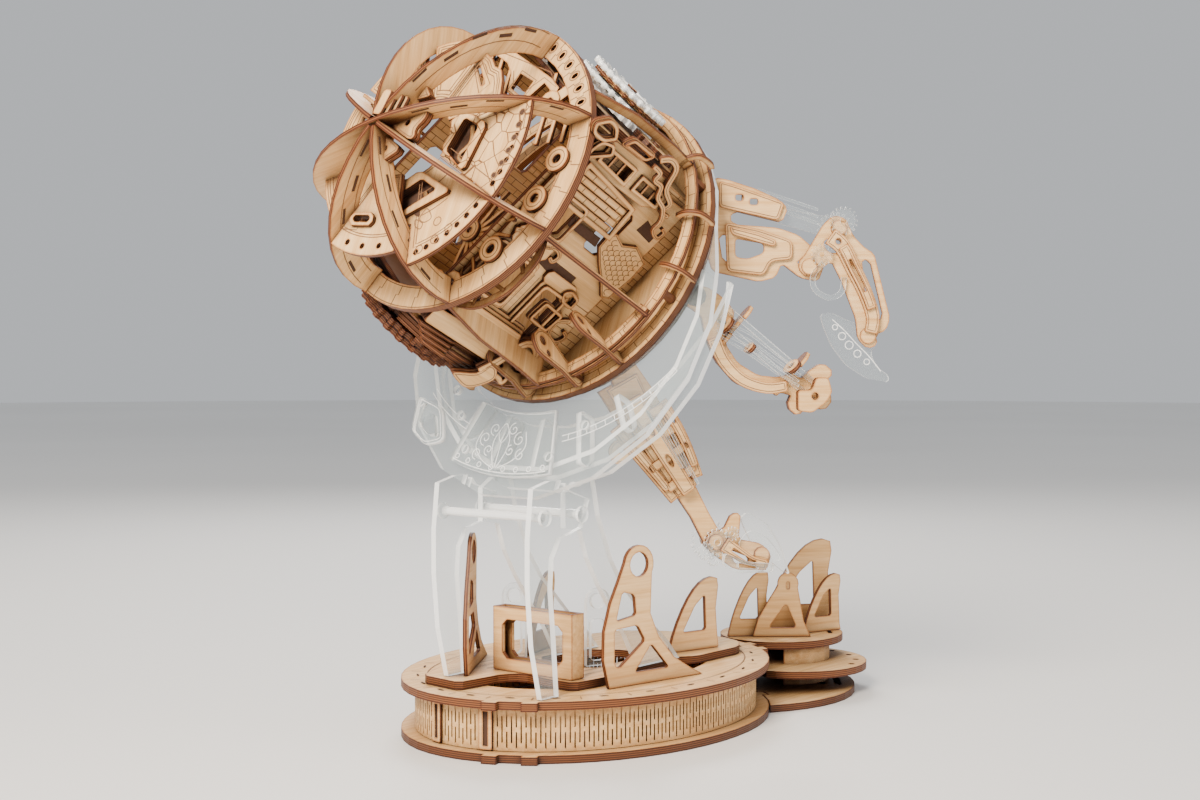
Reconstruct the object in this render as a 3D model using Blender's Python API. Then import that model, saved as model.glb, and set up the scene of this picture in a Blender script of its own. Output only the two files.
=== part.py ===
"""Laser-cut mechanical jellyfish: a plywood bell with gear stacks on a shaft, a clear
acrylic skirt, stand and hooks, jointed tentacles and a seabed base.
Metres, +Z up. The origin is on the table, under the middle of the bell's plane of
symmetry. The bell's dome points to -X and up, and the tentacles point to +X."""

import bpy
import bmesh
from math import asin, atan2, cos, degrees, hypot, pi, radians, sin, sqrt
from mathutils import Matrix, Vector

MM = 0.001

# Stock and clearances
PLY = 2.0 * MM
DOUBLE = 2 * PLY
ACRYLIC = 3.0 * MM
GAP = 0.3 * MM
PIN_R = 2.0 * MM
PIN_HEAD_R = 4.0 * MM
PIN_HEAD_T = 1.5 * MM
SLOT_GAP = 0.3 * MM
SEAT = 0.1 * MM

# Base drum
DRUM_SHIFT_Y = 13.0 * MM
DRUM_A = 110.0 * MM
DRUM_B = 84.0 * MM
DRUM_WALL_INSET = 7.0 * MM
DRUM_WALL_T = 2.0 * MM
DRUM_TOP_Z = 29.0 * MM
RING_OPEN_A = 78.0 * MM
RING_OPEN_B = 52.0 * MM
LUG_W = 9.0 * MM
LUG_OUT = 3.5 * MM
LUG_ANGLES = (198.0, 210.0, 330.0, 339.75)

# Seabed behind the drum
REAR_LOW_C = Vector((DRUM_A + 5.0 * MM, 10.0 * MM))
REAR_LOW_R = 75.0 * MM
REAR_MID_C = Vector((DRUM_A + 30.0 * MM, -20.0 * MM))
REAR_MID_R = 43.0 * MM
REAR_MID_Z = 12.3 * MM
REAR_TOP_C = Vector((DRUM_A + 39.0 * MM, -8.0 * MM))
REAR_TOP_A = 38.0 * MM
REAR_TOP_B = 34.0 * MM
REAR_POST_R = 24.0 * MM
ARC_SLOT_W = 4.0 * MM
RIM_HOLE_R = 1.8 * MM

# Fins and deck furniture
RING_FIN_H = 68.0 * MM
RING_FIN_EYE_R = 6.0 * MM
RING_FIN_HEAD_R = 9.5 * MM
SHARK_H = 38.0 * MM
SHARK_L = 34.0 * MM
FRAME_W = 51.0 * MM
FRAME_D = 9.0 * MM
FRAME_H = 31.5 * MM
FRAME_X = -61.0 * MM
FRAME_BORDER = 6.0 * MM
HOOK_H = 39.0 * MM
HOOK_R = 6.5 * MM
HOOK_BAND = 2.6 * MM

# Stand
LEG_Y = 30.0 * MM
LEG_LAP = 11.5 * MM
LEG_PIN_X = -62.0 * MM
FRONT_PIN_X = -89.0 * MM
LEG_PIN_DROP = 5.5 * MM

# Bell
BELL_CENTRE = Vector((-27.0, 0.0, 241.0)) * MM
BELL_TILT = radians(24.0)
RIM_R = 82.0 * MM
RIM_BAND = 8.0 * MM
RIM_IN_R = RIM_R - RIM_BAND
RIM_T = DOUBLE
BACK_PLATE_R = RIM_R - 5.0 * MM
BACK_HOLE_R = 22.0 * MM
INNER_RING_S = 12.0 * MM
INNER_RING_R = RIM_R - 2.0 * MM
CROWN_S = 87.0 * MM
CROWN_R = 74.0 * MM
CROWN_IN_R = 62.5 * MM
EYELET_R = 6.0 * MM
EYELET_HOLE_R = 2.3 * MM
EYELETS = ((52, 56), (60.5, 92.6), (57.6, 116.3), (59.1, 141.2), (63.1, 164.9))
OVALS = 11
OVAL_START = -67.0
OVAL_STEP = 7.0
CORE_N = 42.0 * MM
CORE_CORNER_ROOM = 1.4 * MM
CORE_Q = sqrt(RIM_IN_R ** 2 - CORE_N ** 2) - CORE_CORNER_ROOM
CORE_ANGLE = 40.0
LOUVRES = 5
LOUVRE_PITCH = 3.6 * MM
DOME_H = 58.0 * MM
DOME_LEAN = radians(9.0)
DOME_BAND = 13.0 * MM
ARCHES = (("dome_arch_c", 165), ("dome_rib_far", 210), ("dome_arch_b", 120), ("dome_arch_a", 75))
PETAL_R = 64.5 * MM
PETAL_S = 27.7 * MM
PETAL_IN_R = 19.0 * MM
PETAL_RISE = 6.0 * MM
TONGUE_R = 44.0 * MM

# Skirt
SKIRT_R = 92.5 * MM
SKIRT_DROP = 39.0 * MM
SKIRT_BACK_R = 88.0 * MM
SKIRT_BACK_DROP = 34.0 * MM
SKIRT_DEPTH = 12.0 * MM
SKIRT_HOLE_R = BACK_PLATE_R + 1.0 * MM
WALL_INSET = 5.0 * MM
WALL_T = 2.5 * MM
WALL_ROOM = 1.0 * MM
LOW_FACETS = 6
BITE_R = RIM_R + 6.0 * MM

# Gear train
SHAFT_R = 3.0 * MM
SHAFT_S = 48.0 * MM
TOOTH = 2.2 * MM
GEAR_T = 3.0 * MM
GEAR_GAP = 1.6 * MM
MODULE = 1.55 * MM
CLEAR_TEETH = 28
IDLER_TEETH = 14
BACKLASH = 0.8 * MM
IDLER_ANGLE = 100.0

WOOD = (0.80, 0.60, 0.38, 1.0)
PALE_WOOD = (0.86, 0.68, 0.46, 1.0)
CLEAR = (0.90, 0.94, 0.93, 1.0)


def reset_scene():
    for old in list(bpy.data.objects):
        bpy.data.objects.remove(old, do_unlink=True)


reset_scene()
PARTS = bpy.data.collections.new("mechanical_jellyfish")
CUTTERS = bpy.data.collections.new("cutters")
bpy.context.scene.collection.children.link(PARTS)
bpy.context.scene.collection.children.link(CUTTERS)


def material(name, colour, roughness):
    mat = bpy.data.materials.new(name)
    mat.use_nodes = True
    shader = mat.node_tree.nodes["Principled BSDF"]
    shader.inputs["Base Color"].default_value = colour
    shader.inputs["Roughness"].default_value = roughness
    shader.inputs["Metallic"].default_value = 0.0
    return mat


def part_material(name, kind):
    colours = {"wood": (WOOD, 0.62), "pale": (PALE_WOOD, 0.6), "clear": (CLEAR, 0.12)}
    colour, roughness = colours[kind]
    return material(name + "_" + kind, colour, roughness)


# Frames. Each gives the plane of a plate: its X and Y and, as Z, its normal.

def frame_of(origin, x_axis, y_axis):
    x_dir = Vector(x_axis).normalized()
    z_dir = x_dir.cross(Vector(y_axis)).normalized()
    y_dir = z_dir.cross(x_dir)
    rows = Matrix((x_dir, y_dir, z_dir)).transposed().to_4x4()
    rows.translation = Vector(origin)
    return rows


def flat_at(z):
    return Matrix.Translation((0, 0, z))


def upright(point, angle, z):
    """A standing plate that runs from a point on the deck in a plan direction."""
    a = radians(angle)
    return frame_of((point[0], point[1], z), (cos(a), sin(a), 0), (0, 0, 1))


def side_plane(y):
    return frame_of((0, y, 0), (1, 0, 0), (0, 0, 1))


BELL_AXIS = Vector((-cos(BELL_TILT), 0, sin(BELL_TILT)))
BELL_UP = Vector((sin(BELL_TILT), 0, cos(BELL_TILT)))
SIDE = Vector((0, 1, 0))


def around(angle):
    """Direction square to the bell's axis, turned from its top towards -Y."""
    a = radians(angle)
    return BELL_UP * cos(a) - SIDE * sin(a)


def bell_point(s, radius, angle):
    return BELL_CENTRE + BELL_AXIS * s + around(angle) * radius


def across(s):
    """Plane square to the bell's axis, s along it. X is the bell's up, Y is +Y."""
    return frame_of(BELL_CENTRE + BELL_AXIS * s, BELL_UP, SIDE)


def radial(angle, lean=0.0, s=0.0):
    """Plane through the bell's axis. X is the radius and Y runs along the axis."""
    axis = BELL_AXIS * cos(lean) - BELL_UP * sin(lean)
    return frame_of(BELL_CENTRE + BELL_AXIS * s, around(angle), axis)


Q_DIR = around(CORE_ANGLE)
N_DIR = around(CORE_ANGLE + 90)


def along_core(s):
    return frame_of(BELL_CENTRE + BELL_AXIS * s, Q_DIR, -N_DIR)


def core_side(q):
    """Plane square to the gear shaft. X runs along the bell's axis."""
    return frame_of(BELL_CENTRE + Q_DIR * q, BELL_AXIS, N_DIR)


def core_face(n):
    return frame_of(BELL_CENTRE + N_DIR * n, BELL_AXIS, Q_DIR)


# Outlines. All are lists of (x, y) pairs, the first loop outside and the rest holes.

def ellipse(centre, a, b, steps=48, start=0.0, end=360.0):
    closed = end - start >= 360.0
    count = steps if closed else steps + 1
    span = radians(end - start)
    turn = [radians(start) + span * i / steps for i in range(count)]
    return [(centre[0] + a * cos(t), centre[1] + b * sin(t)) for t in turn]


def circle(centre, r, steps=20):
    return ellipse(centre, r, r, steps)


def box2(x0, y0, x1, y1):
    return [(x0, y0), (x1, y0), (x1, y1), (x0, y1)]


def mm_points(pairs):
    return [(x * MM, y * MM) for x, y in pairs]


def rounded(points, radius, steps=1):
    """Replaces each corner by an arc that touches both its edges."""
    out = []
    count = len(points)
    for i, here in enumerate(points):
        p = Vector(here)
        before = Vector(points[i - 1]) - p
        after = Vector(points[(i + 1) % count]) - p
        reach = min(radius, before.length * 0.45, after.length * 0.45)
        a = p + before.normalized() * reach
        b = p + after.normalized() * reach
        for k in range(steps + 1):
            t = k / steps
            q = a * (1 - t) ** 2 + p * 2 * t * (1 - t) + b * t ** 2
            out.append((q.x, q.y))
    return out


def arc_slot(centre, radius, width, start, end, steps=10):
    outer = ellipse(centre, radius + width / 2, radius + width / 2, steps, start, end)
    inner = ellipse(centre, radius - width / 2, radius - width / 2, steps, start, end)
    return outer + inner[::-1]


def gear_outline(teeth, root_r, tip_r):
    out = []
    pitch = 2 * pi / teeth
    for i in range(teeth):
        for share, r in ((-0.28, root_r), (-0.14, tip_r), (0.14, tip_r), (0.28, root_r)):
            t = pitch * (i + share)
            out.append((r * cos(t), r * sin(t)))
    return out


def lugged_ellipse(a, b, grow=0.0, steps=52):
    """An ellipse with square lugs that stand out where wall panels are keyed."""
    half = degrees((LUG_W / 2 + grow) / max(a, b))
    stations = [(360.0 * i / steps, (0.0,)) for i in range(steps)]
    stations = [(t, push) for t, push in stations
                if all(abs(t - lug) > half + 0.5 for lug in LUG_ANGLES)]
    for lug in LUG_ANGLES:
        stations += [(lug - half, (0.0, LUG_OUT)), (lug + half, (LUG_OUT, 0.0))]
    return [((a + grow + push) * cos(radians(t)), (b + grow + push) * sin(radians(t)))
            for t, pushes in sorted(stations) for push in pushes]


# Solids

def mesh_object(name, mesh, collection):
    obj = bpy.data.objects.new(name, mesh)
    collection.objects.link(obj)
    return obj


def plate(name, loops, thickness, place, kind="wood", collection=None):
    """A flat plate: a filled 2D curve with an extrude, welded into a mesh."""
    curve = bpy.data.curves.new(name, "CURVE")
    curve.dimensions = "2D"
    curve.fill_mode = "BOTH"
    curve.extrude = thickness / 2
    for loop in loops:
        spline = curve.splines.new("POLY")
        spline.points.add(len(loop) - 1)
        for point, (x, y) in zip(spline.points, loop):
            point.co = (x, y, 0, 1)
        spline.use_cyclic_u = True
    shape = bpy.data.objects.new(name + "_outline", curve)
    bpy.context.scene.collection.objects.link(shape)
    evaluated = shape.evaluated_get(bpy.context.evaluated_depsgraph_get())
    mesh = bpy.data.meshes.new_from_object(evaluated)
    bpy.data.objects.remove(shape, do_unlink=True)
    edit = bmesh.new()
    edit.from_mesh(mesh)
    bmesh.ops.remove_doubles(edit, verts=edit.verts, dist=1e-6)
    bmesh.ops.recalc_face_normals(edit, faces=edit.faces)
    edit.to_mesh(mesh)
    edit.free()
    mesh.name = name
    obj = mesh_object(name, mesh, collection or PARTS)
    obj.matrix_world = place
    if collection is None:
        mesh.materials.append(part_material(name, kind))
    return obj


def layer(place, offset):
    return place @ Matrix.Translation((0, 0, offset))


def cutter(name, loops, thickness, place):
    obj = plate(name, loops, thickness, place, collection=CUTTERS)
    obj.hide_render = True
    obj.display_type = "WIRE"
    return obj


def rod_tool(name, place, x, y, z0, z1, r, steps=12):
    """A round bar along a plane's normal, from z0 to z1, as a tool for a Boolean."""
    spot = layer(place, (z0 + z1) / 2)
    return cutter(name, [circle((x, y), r, steps)], z1 - z0, spot)


def combine(obj, tool, operation):
    step = obj.modifiers.new(operation.lower() + "_" + tool.name, "BOOLEAN")
    step.operation = operation
    step.object = tool
    step.solver = "EXACT"
    return obj


def cut(obj, *tools):
    for tool in tools:
        combine(obj, tool, "DIFFERENCE")
    return obj


def join(obj, *tools):
    for tool in tools:
        combine(obj, tool, "UNION")
    return obj


def add_layer(obj, name, loops, place, face):
    """Glues one more sheet on a plate's outer face, which lies at that offset."""
    middle = face + (PLY - SEAT) / 2
    return join(obj, cutter(name, loops, PLY + SEAT, layer(place, middle)))


def pin_tools(name, place, x, y, face, end):
    """A pin with a washer on its plate's outer face and a head at its far end, as
    tools to join to the plate. It runs down from the face to the end."""
    washer = rod_tool(name + "_washer", place, x, y, face - PLY / 2, face + PIN_HEAD_T, PIN_HEAD_R)
    shank = rod_tool(name + "_shank", place, x, y, end - PIN_HEAD_T / 2, face, PIN_R)
    head = rod_tool(name + "_head", place, x, y, end - PIN_HEAD_T, end, PIN_HEAD_R)
    return washer, shank, head


def hang_on_joint(name, place, x, y, *pieces):
    """An empty on a joint's axis that carries the pieces which turn about it."""
    pivot = bpy.data.objects.new(name, None)
    pivot.empty_display_size = PIN_HEAD_R
    pivot.matrix_world = place @ Matrix.Translation((x, y, 0))
    PARTS.objects.link(pivot)
    for piece in pieces:
        stay = piece.matrix_world.copy()
        piece.parent = pivot
        piece.matrix_parent_inverse = pivot.matrix_world.inverted()
        piece.matrix_world = stay
    return pivot


# Base drum and seabed

def shifted(points, dy=DRUM_SHIFT_Y):
    return [(x, y + dy) for x, y in points]


def base_drum():
    low = shifted(lugged_ellipse(DRUM_A, DRUM_B))
    plate("base_bottom_plate", [low], DOUBLE, flat_at(DOUBLE / 2))

    wall_a = DRUM_A - DRUM_WALL_INSET
    wall_b = DRUM_B - DRUM_WALL_INSET
    outside = shifted(ellipse((0, 0), wall_a, wall_b))
    inside = shifted(ellipse((0, 0), wall_a - DRUM_WALL_T, wall_b - DRUM_WALL_T))
    wall_z0 = DOUBLE + GAP
    wall_z1 = DRUM_TOP_Z - DOUBLE - GAP
    middle = (wall_z0 + wall_z1) / 2
    plate("base_wall", [outside, inside], wall_z1 - wall_z0, flat_at(middle), "pale")

    opening = shifted(ellipse((0, 0), RING_OPEN_A, RING_OPEN_B, 40))
    plate("base_top_ring", [low, opening], DOUBLE, flat_at(DRUM_TOP_Z - DOUBLE / 2))


DECK_Z = DRUM_TOP_Z + GAP
DECK_TOP = DECK_Z + DOUBLE


def base_deck():
    outline = mm_points([
        (-97, 15), (-68, 13), (-60, 6), (-64, -14), (-64, -29), (-44, -31), (24, -24),
        (34, -31), (72, -31), (86, -22), (92, -6), (90, 28), (74, 52), (36, 62),
        (-36, 66), (-70, 52), (-94, 42)])
    window = rounded(mm_points([(-30, -12), (18, -10), (26, 8), (10, 30), (-24, 30)]), 5 * MM)
    plate("deck_platform", [rounded(outline, 3 * MM), window], DOUBLE,
          flat_at(DECK_Z + DOUBLE / 2))


def seabed():
    drum = cutter("drum_clearance", [shifted(lugged_ellipse(DRUM_A, DRUM_B, 2 * GAP))],
                  3 * DRUM_TOP_Z, flat_at(DRUM_TOP_Z))
    slots = [arc_slot(REAR_LOW_C, REAR_LOW_R - 9 * MM - 9 * MM * i, ARC_SLOT_W, -64, 38, 6)
             for i in range(3)]
    low = plate("seabed_low_plate", [circle(REAR_LOW_C, REAR_LOW_R, 40)] + slots, DOUBLE,
                flat_at(DOUBLE / 2))
    cut(low, drum)

    holes = [circle(REAR_MID_C + Vector((cos(t), sin(t))) * (REAR_MID_R - 6 * MM),
                    RIM_HOLE_R, 6)
             for t in [radians(-80 + 24 * i) for i in range(7)]]
    middle = plate("seabed_middle_plate", [circle(REAR_MID_C, REAR_MID_R, 32)] + holes,
                   DOUBLE, flat_at(REAR_MID_Z + DOUBLE / 2))
    cut(middle, drum)

    top_slot = arc_slot(REAR_TOP_C, REAR_TOP_B - 6 * MM, 2.4 * MM, -60, 10)
    top = plate("seabed_top_plate",
                [ellipse(REAR_TOP_C, REAR_TOP_A, REAR_TOP_B, 32), top_slot], DOUBLE,
                flat_at(DRUM_TOP_Z - DOUBLE / 2))
    cut(top, drum)

    post_c = (REAR_MID_C + REAR_TOP_C) / 2
    z0 = DOUBLE + GAP
    z1 = DRUM_TOP_Z - DOUBLE - GAP
    band = arc_slot(post_c, REAR_POST_R, PLY, -150, 60, 10)
    plate("seabed_post", [band], z1 - z0, flat_at((z0 + z1) / 2), "pale")
    passage = arc_slot(post_c, REAR_POST_R, PLY + 2 * SLOT_GAP, -151, 61, 10)
    cut(middle, cutter("post_passage", [passage], 3 * DOUBLE, flat_at(REAR_MID_Z)))


def shark_outline(length, height, base=0.22, lean=0.55):
    """A hooked fin: one long bowed edge, a blunt tip and a steep back edge."""
    front = [(length * (0.86 * t ** 1.15), height * sin(pi / 2 * t) ** 0.92)
             for t in [i / 8 for i in range(9)]]
    back = [(length * 0.97, height * 0.97), (length * 0.99, height * 0.86),
            (length * 0.94, height * lean), (length * 0.97, height * base), (length, 0)]
    hole = rounded([(length * 0.27, height * 0.26), (length * 0.74, height * 0.26),
                    (length * 0.72, height * 0.76), (length * 0.52, height * 0.62)],
                   1.2 * MM)
    return [front + back, hole]


def fins():
    z = DECK_TOP + GAP
    plate("shark_fin_near", shark_outline(SHARK_L, SHARK_H), PLY,
          upright((30 * MM, -15 * MM), -14, z))
    plate("shark_fin_far", shark_outline(SHARK_L, SHARK_H * 1.08), PLY,
          upright((-22 * MM, 38 * MM), 16, z))
    z = DRUM_TOP_Z + GAP
    coral = (("coral_fin_left", (-33, 15), -42, 24, 37), ("coral_fin_back", (4, 16), -42, 42, 52),
             ("coral_fin_right", (4, -12), -20, 27, 33))
    for name, spot, angle, length, height in coral:
        plate(name, shark_outline(length * MM, height * MM, 0.1, 0.62), PLY,
              upright(REAR_TOP_C + Vector(spot) * MM, angle, z))
    head = (20 * MM, 30 * MM)
    arc = ellipse(head, 6 * MM, 6.5 * MM, 10, -20, 190)
    body = [(0, 0)] + mm_points([(3, 10), (8, 19)]) + arc[::-1] + mm_points([(29, 9), (33, 0)])
    keyhole = box2(19.2 * MM, 27 * MM, 20.8 * MM, 31 * MM)
    gap = rounded(mm_points([(9, 5), (25, 5), (19, 19)]), 1.5 * MM)
    plate("coral_fin_round", [body, keyhole, gap], PLY,
          upright(REAR_TOP_C + Vector((-24.5, 3.5)) * MM, -50, z))


def ring_fin_loops():
    """The tall fin: a ring on a bowed back, struts and a long toe."""
    eye = (23 * MM, RING_FIN_H - RING_FIN_HEAD_R)
    head = ellipse(eye, RING_FIN_HEAD_R, RING_FIN_HEAD_R, 12, -28, 172)[::-1]
    back = mm_points([(3.5, 0), (0, 14), (0.5, 28), (4.5, 41), (9.5, 51)])
    toe = mm_points([(31, 46), (30.5, 34), (36, 22), (46, 11), (58, 4), (66, 0)])
    upper = rounded(mm_points([(12, 46), (20, 44), (21, 34), (8, 32)]), 1.2 * MM)
    arrow = rounded(mm_points([(7, 28), (22, 29), (27, 21), (10, 9), (7, 11)]), 1.2 * MM)
    lower = rounded(mm_points([(31, 19), (43, 6), (20, 6)]), 1.2 * MM)
    return [back + head + toe, circle(eye, RING_FIN_EYE_R, 16), upper, arrow, lower]


def deck_furniture():
    plate("ring_fin_near", ring_fin_loops(), PLY,
          upright((-52 * MM, -37 * MM), -10, DRUM_TOP_Z + GAP))
    plate("ring_fin_far", ring_fin_loops(), PLY,
          upright((-87 * MM, 20.5 * MM), 34, DECK_TOP + GAP))
    z = DECK_TOP + GAP
    tube = box2(0, -FRAME_W / 2, FRAME_D, FRAME_W / 2)
    hollow = box2(PLY, -FRAME_W / 2 + PLY, FRAME_D - PLY, FRAME_W / 2 - PLY)
    frame = plate("window_frame", [tube, hollow], FRAME_H,
                  Matrix.Translation((FRAME_X, 0, z + FRAME_H / 2)))
    window = rounded(box2(-FRAME_W / 2 + FRAME_BORDER, z + FRAME_BORDER,
                          FRAME_W / 2 - FRAME_BORDER, z + FRAME_H - FRAME_BORDER), 3 * MM)
    face = frame_of((FRAME_X + FRAME_D / 2, 0, 0), (0, 1, 0), (0, 0, 1))
    cut(frame, cutter("frame_window", [window], 2 * FRAME_D, face))
    for name, spot, angle in (("clear_hook_near", (-27, -6), -25), ("clear_hook_far", (-38, 40), -25)):
        top = ellipse((HOOK_R, HOOK_H - HOOK_R), HOOK_R, HOOK_R, 10, 0, 180)
        outline = [(0, 0)] + top[::-1] + [(2 * HOOK_R, 0)]
        eye = circle((HOOK_R, HOOK_H - HOOK_R), HOOK_R - HOOK_BAND, 12)
        throat = rounded(box2(HOOK_BAND, HOOK_BAND, 2 * HOOK_R - HOOK_BAND,
                              HOOK_H - 2 * HOOK_R - HOOK_BAND), 1.5 * MM)
        plate(name, [outline, eye, throat], ACRYLIC,
              upright((spot[0] * MM, spot[1] * MM), angle, z), "clear")


# Stand

def skirt_loop(radius, drop, least, grow=0.0, steps=24):
    """The skirt's outline from the bell's axis: a big circle hung low, never less
    than the rim. X is the bell's up."""
    out = []
    for i in range(steps):
        t = 2 * pi * (i + 0.5) / steps
        down = drop * cos(t) + sqrt(radius ** 2 - (drop * sin(t)) ** 2)
        r = max(least, down) + grow
        out.append((-r * cos(t), r * sin(t)))
    return out


FRONT_S = -GAP - ACRYLIC
BACK_S = FRONT_S - SKIRT_DEPTH - ACRYLIC


def skirt_cutters(name):
    front = cutter(name + "_front_slot",
                   [skirt_loop(SKIRT_R, SKIRT_DROP, RIM_R, SLOT_GAP)],
                   ACRYLIC + 2 * SLOT_GAP, across(FRONT_S + ACRYLIC / 2))
    back = cutter(name + "_back_slot",
                  [skirt_loop(SKIRT_BACK_R, SKIRT_BACK_DROP, RIM_R - 2 * MM, SLOT_GAP)],
                  ACRYLIC + 2 * SLOT_GAP, across(BACK_S + ACRYLIC / 2))
    inside = cutter(name + "_skirt_room",
                    [skirt_loop(SKIRT_BACK_R, SKIRT_BACK_DROP, RIM_R, SLOT_GAP - WALL_INSET)],
                    SKIRT_DEPTH, across(FRONT_S - SKIRT_DEPTH / 2))
    return front, back, inside


# Leg outlines as x in millimetres and the share of the height from foot to top.
FRONT_LEG = ((-78, 0), (-80, 0.25), (-82.5, 0.5), (-81.5, 0.64), (-76, 0.73), (-60, 0.77),
             (-55, 0.9), (-70, 0.95), (-74, 1), (-84, 1), (-96, 0.97), (-98.5, 0.74),
             (-98.5, 0.52), (-96, 0.25), (-90, 0))
REAR_LEG = ((-12, 0), (-22, 0.17), (-34, 0.33), (-43.5, 0.46), (-52, 0.6), (-57, 0.74),
            (-69, 0.76), (-69, 0.93), (-61, 0.98), (-47, 0.98), (-43, 0.8), (-33, 0.57),
            (-24, 0.44), (-3, 0.23), (12, 0.11), (22, 0))


def leg_outline(points, foot, top):
    return [(x * MM, foot + share * (top - foot)) for x, share in points]


def stand():
    front_z = DECK_TOP + GAP
    slots = skirt_cutters("leg")
    skirt_foot = bell_point(FRONT_S, SKIRT_R + SKIRT_DROP, 180).z
    top = skirt_foot + LEG_LAP
    pin_z = skirt_foot - LEG_PIN_DROP
    for name, side in (("far", 1), ("near", -1)):
        foot = front_z if side > 0 else DRUM_TOP_Z + GAP
        shape = leg_outline(FRONT_LEG, foot, top)
        holes = [circle((x, pin_z), PIN_R + GAP, 12) for x in (LEG_PIN_X, FRONT_PIN_X)]
        leg = plate("front_leg_" + name, [shape] + holes, ACRYLIC, side_plane(side * LEG_Y), "clear")
        cut(leg, *slots)
        shape = leg_outline(REAR_LEG, front_z, top)
        leg = plate("rear_leg_" + name, [shape, holes[0]], ACRYLIC,
                    side_plane(side * (LEG_Y - ACRYLIC - GAP)), "clear")
        cut(leg, *slots)
    reach = LEG_Y + ACRYLIC / 2 + GAP
    for name, x in (("leg_pin_rear", LEG_PIN_X), ("leg_pin_front", FRONT_PIN_X)):
        pin = plate(name, [circle((x, pin_z), PIN_R, 12)], 2 * reach + PIN_HEAD_T, side_plane(0), "clear")
        for side in (-1, 1):
            place = side_plane(side * (reach + PIN_HEAD_T / 2))
            join(pin, cutter(name + "_head" + str(side), [circle((x, pin_z), PIN_HEAD_R, 16)],
                             PIN_HEAD_T, place))


# Bell

def skirt():
    hole = circle((0, 0), SKIRT_HOLE_R, 36)
    plate("skirt_front_plate", [skirt_loop(SKIRT_R, SKIRT_DROP, RIM_R), hole], ACRYLIC,
          across(FRONT_S + ACRYLIC / 2), "clear")
    rim = skirt_loop(SKIRT_BACK_R, SKIRT_BACK_DROP, RIM_R)
    count = len(rim)
    keep = [i % count for i in range(-LOW_FACETS, LOW_FACETS)]
    bite = [(x * BITE_R / hypot(x, y), y * BITE_R / hypot(x, y)) for x, y in rim]
    low_side = [rim[i] for i in keep] + [bite[i] for i in reversed(keep)]
    plate("skirt_back_plate", [low_side], ACRYLIC, across(BACK_S + ACRYLIC / 2), "clear")
    least = BACK_PLATE_R + WALL_ROOM + WALL_T + WALL_INSET
    outer = skirt_loop(SKIRT_BACK_R, SKIRT_BACK_DROP, least, -WALL_INSET)
    inner = skirt_loop(SKIRT_BACK_R, SKIRT_BACK_DROP, least, -WALL_INSET - WALL_T)
    band = [outer[i] for i in keep] + [inner[i] for i in reversed(keep)]
    depth = SKIRT_DEPTH - 2 * GAP
    plate("skirt_wall", [band], depth, across(FRONT_S - GAP - depth / 2), "clear")


def bell_frame():
    plate("rim_ring", [circle((0, 0), RIM_R, 48), circle((0, 0), RIM_IN_R, 48)], RIM_T,
          across(RIM_T / 2))
    inner = plate("inner_rim_ring", [circle((0, 0), INNER_RING_R, 44), circle((0, 0), RIM_IN_R, 44)],
                  PLY, across(INNER_RING_S + PLY / 2))
    for k in range(8):
        angle = 22.5 + 45 * k
        spot = around(angle)
        x, y = spot.dot(BELL_UP), spot.y
        mid = (RIM_IN_R + INNER_RING_R) / 2
        depth = INNER_RING_S - RIM_T - GAP
        post = circle((x * mid, y * mid), 2.5 * MM, 6)
        join(inner, cutter("ring_post_%d" % k, [post], depth + GAP,
                           across(RIM_T + GAP + (depth + GAP) / 2)))
    back = plate("back_plate", [circle((0, 0), BACK_PLATE_R, 40), circle((0, 0), BACK_HOLE_R)],
                 DOUBLE, across(-DOUBLE / 2 - 2 * GAP - ACRYLIC))
    for tool in shoulder_tools():
        join(back, tool)
    for tool in shoulder_pin_tools():
        join(back, tool)

    ovals = []
    for i in range(OVALS):
        t = radians(OVAL_START + OVAL_STEP * i)
        along_ring, square_to_it = Vector((-sin(t), cos(t))), Vector((cos(t), sin(t)))
        spot = square_to_it * (CROWN_IN_R + CROWN_R) / 2
        ring = [spot + square_to_it * 2.0 * MM * cos(u) + along_ring * 1.2 * MM * sin(u)
                for u in [pi / 3 * k for k in range(6)]]
        ovals.append([(point.x, point.y) for point in ring])
    crown = plate("crown_ring", [circle((0, 0), CROWN_R, 48), circle((0, 0), CROWN_IN_R, 44)] + ovals,
                  DOUBLE, across(CROWN_S + DOUBLE / 2))
    bracket = mm_points([(65, -2), (42, -40), (36.5, -46), (32.5, -44.5), (40, -36), (31.4, -26.4),
                         (37.5, -14), (47.6, -12.8), (54, -8), (61, 3.5)])
    window = mm_points([(46.9, -19), (41.8, -28.5), (33.8, -24.6), (39.6, -15.6)])
    join(crown, cutter("crown_bracket", [bracket, window], PLY, across(CROWN_S + DOUBLE / 2)))
    for k, (reach, angle) in enumerate(EYELETS):
        spot = around(angle)
        out = Vector((spot.dot(BELL_UP), spot.y))
        x, y = out * reach * MM
        stem = box2(reach * MM, -EYELET_R / 2, CROWN_IN_R + 2 * MM, EYELET_R / 2)
        turn = Matrix.Rotation(atan2(out.y, out.x), 4, "Z")
        middle = CROWN_S + DOUBLE / 2
        join(crown, cutter("eyelet_stem_%d" % k, [stem], PLY, across(middle) @ turn))
        level = across(CROWN_S)
        join(crown, rod_tool("eyelet_%d" % k, level, x, y, 0.5 * MM, DOUBLE - GAP, EYELET_R, 10))
        cut(crown, rod_tool("eyelet_hole_%d" % k, level, x, y, -DOUBLE, 2 * DOUBLE, EYELET_HOLE_R, 6))


CORE_S0 = FRONT_S
CORE_S1 = CROWN_S - GAP


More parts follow.
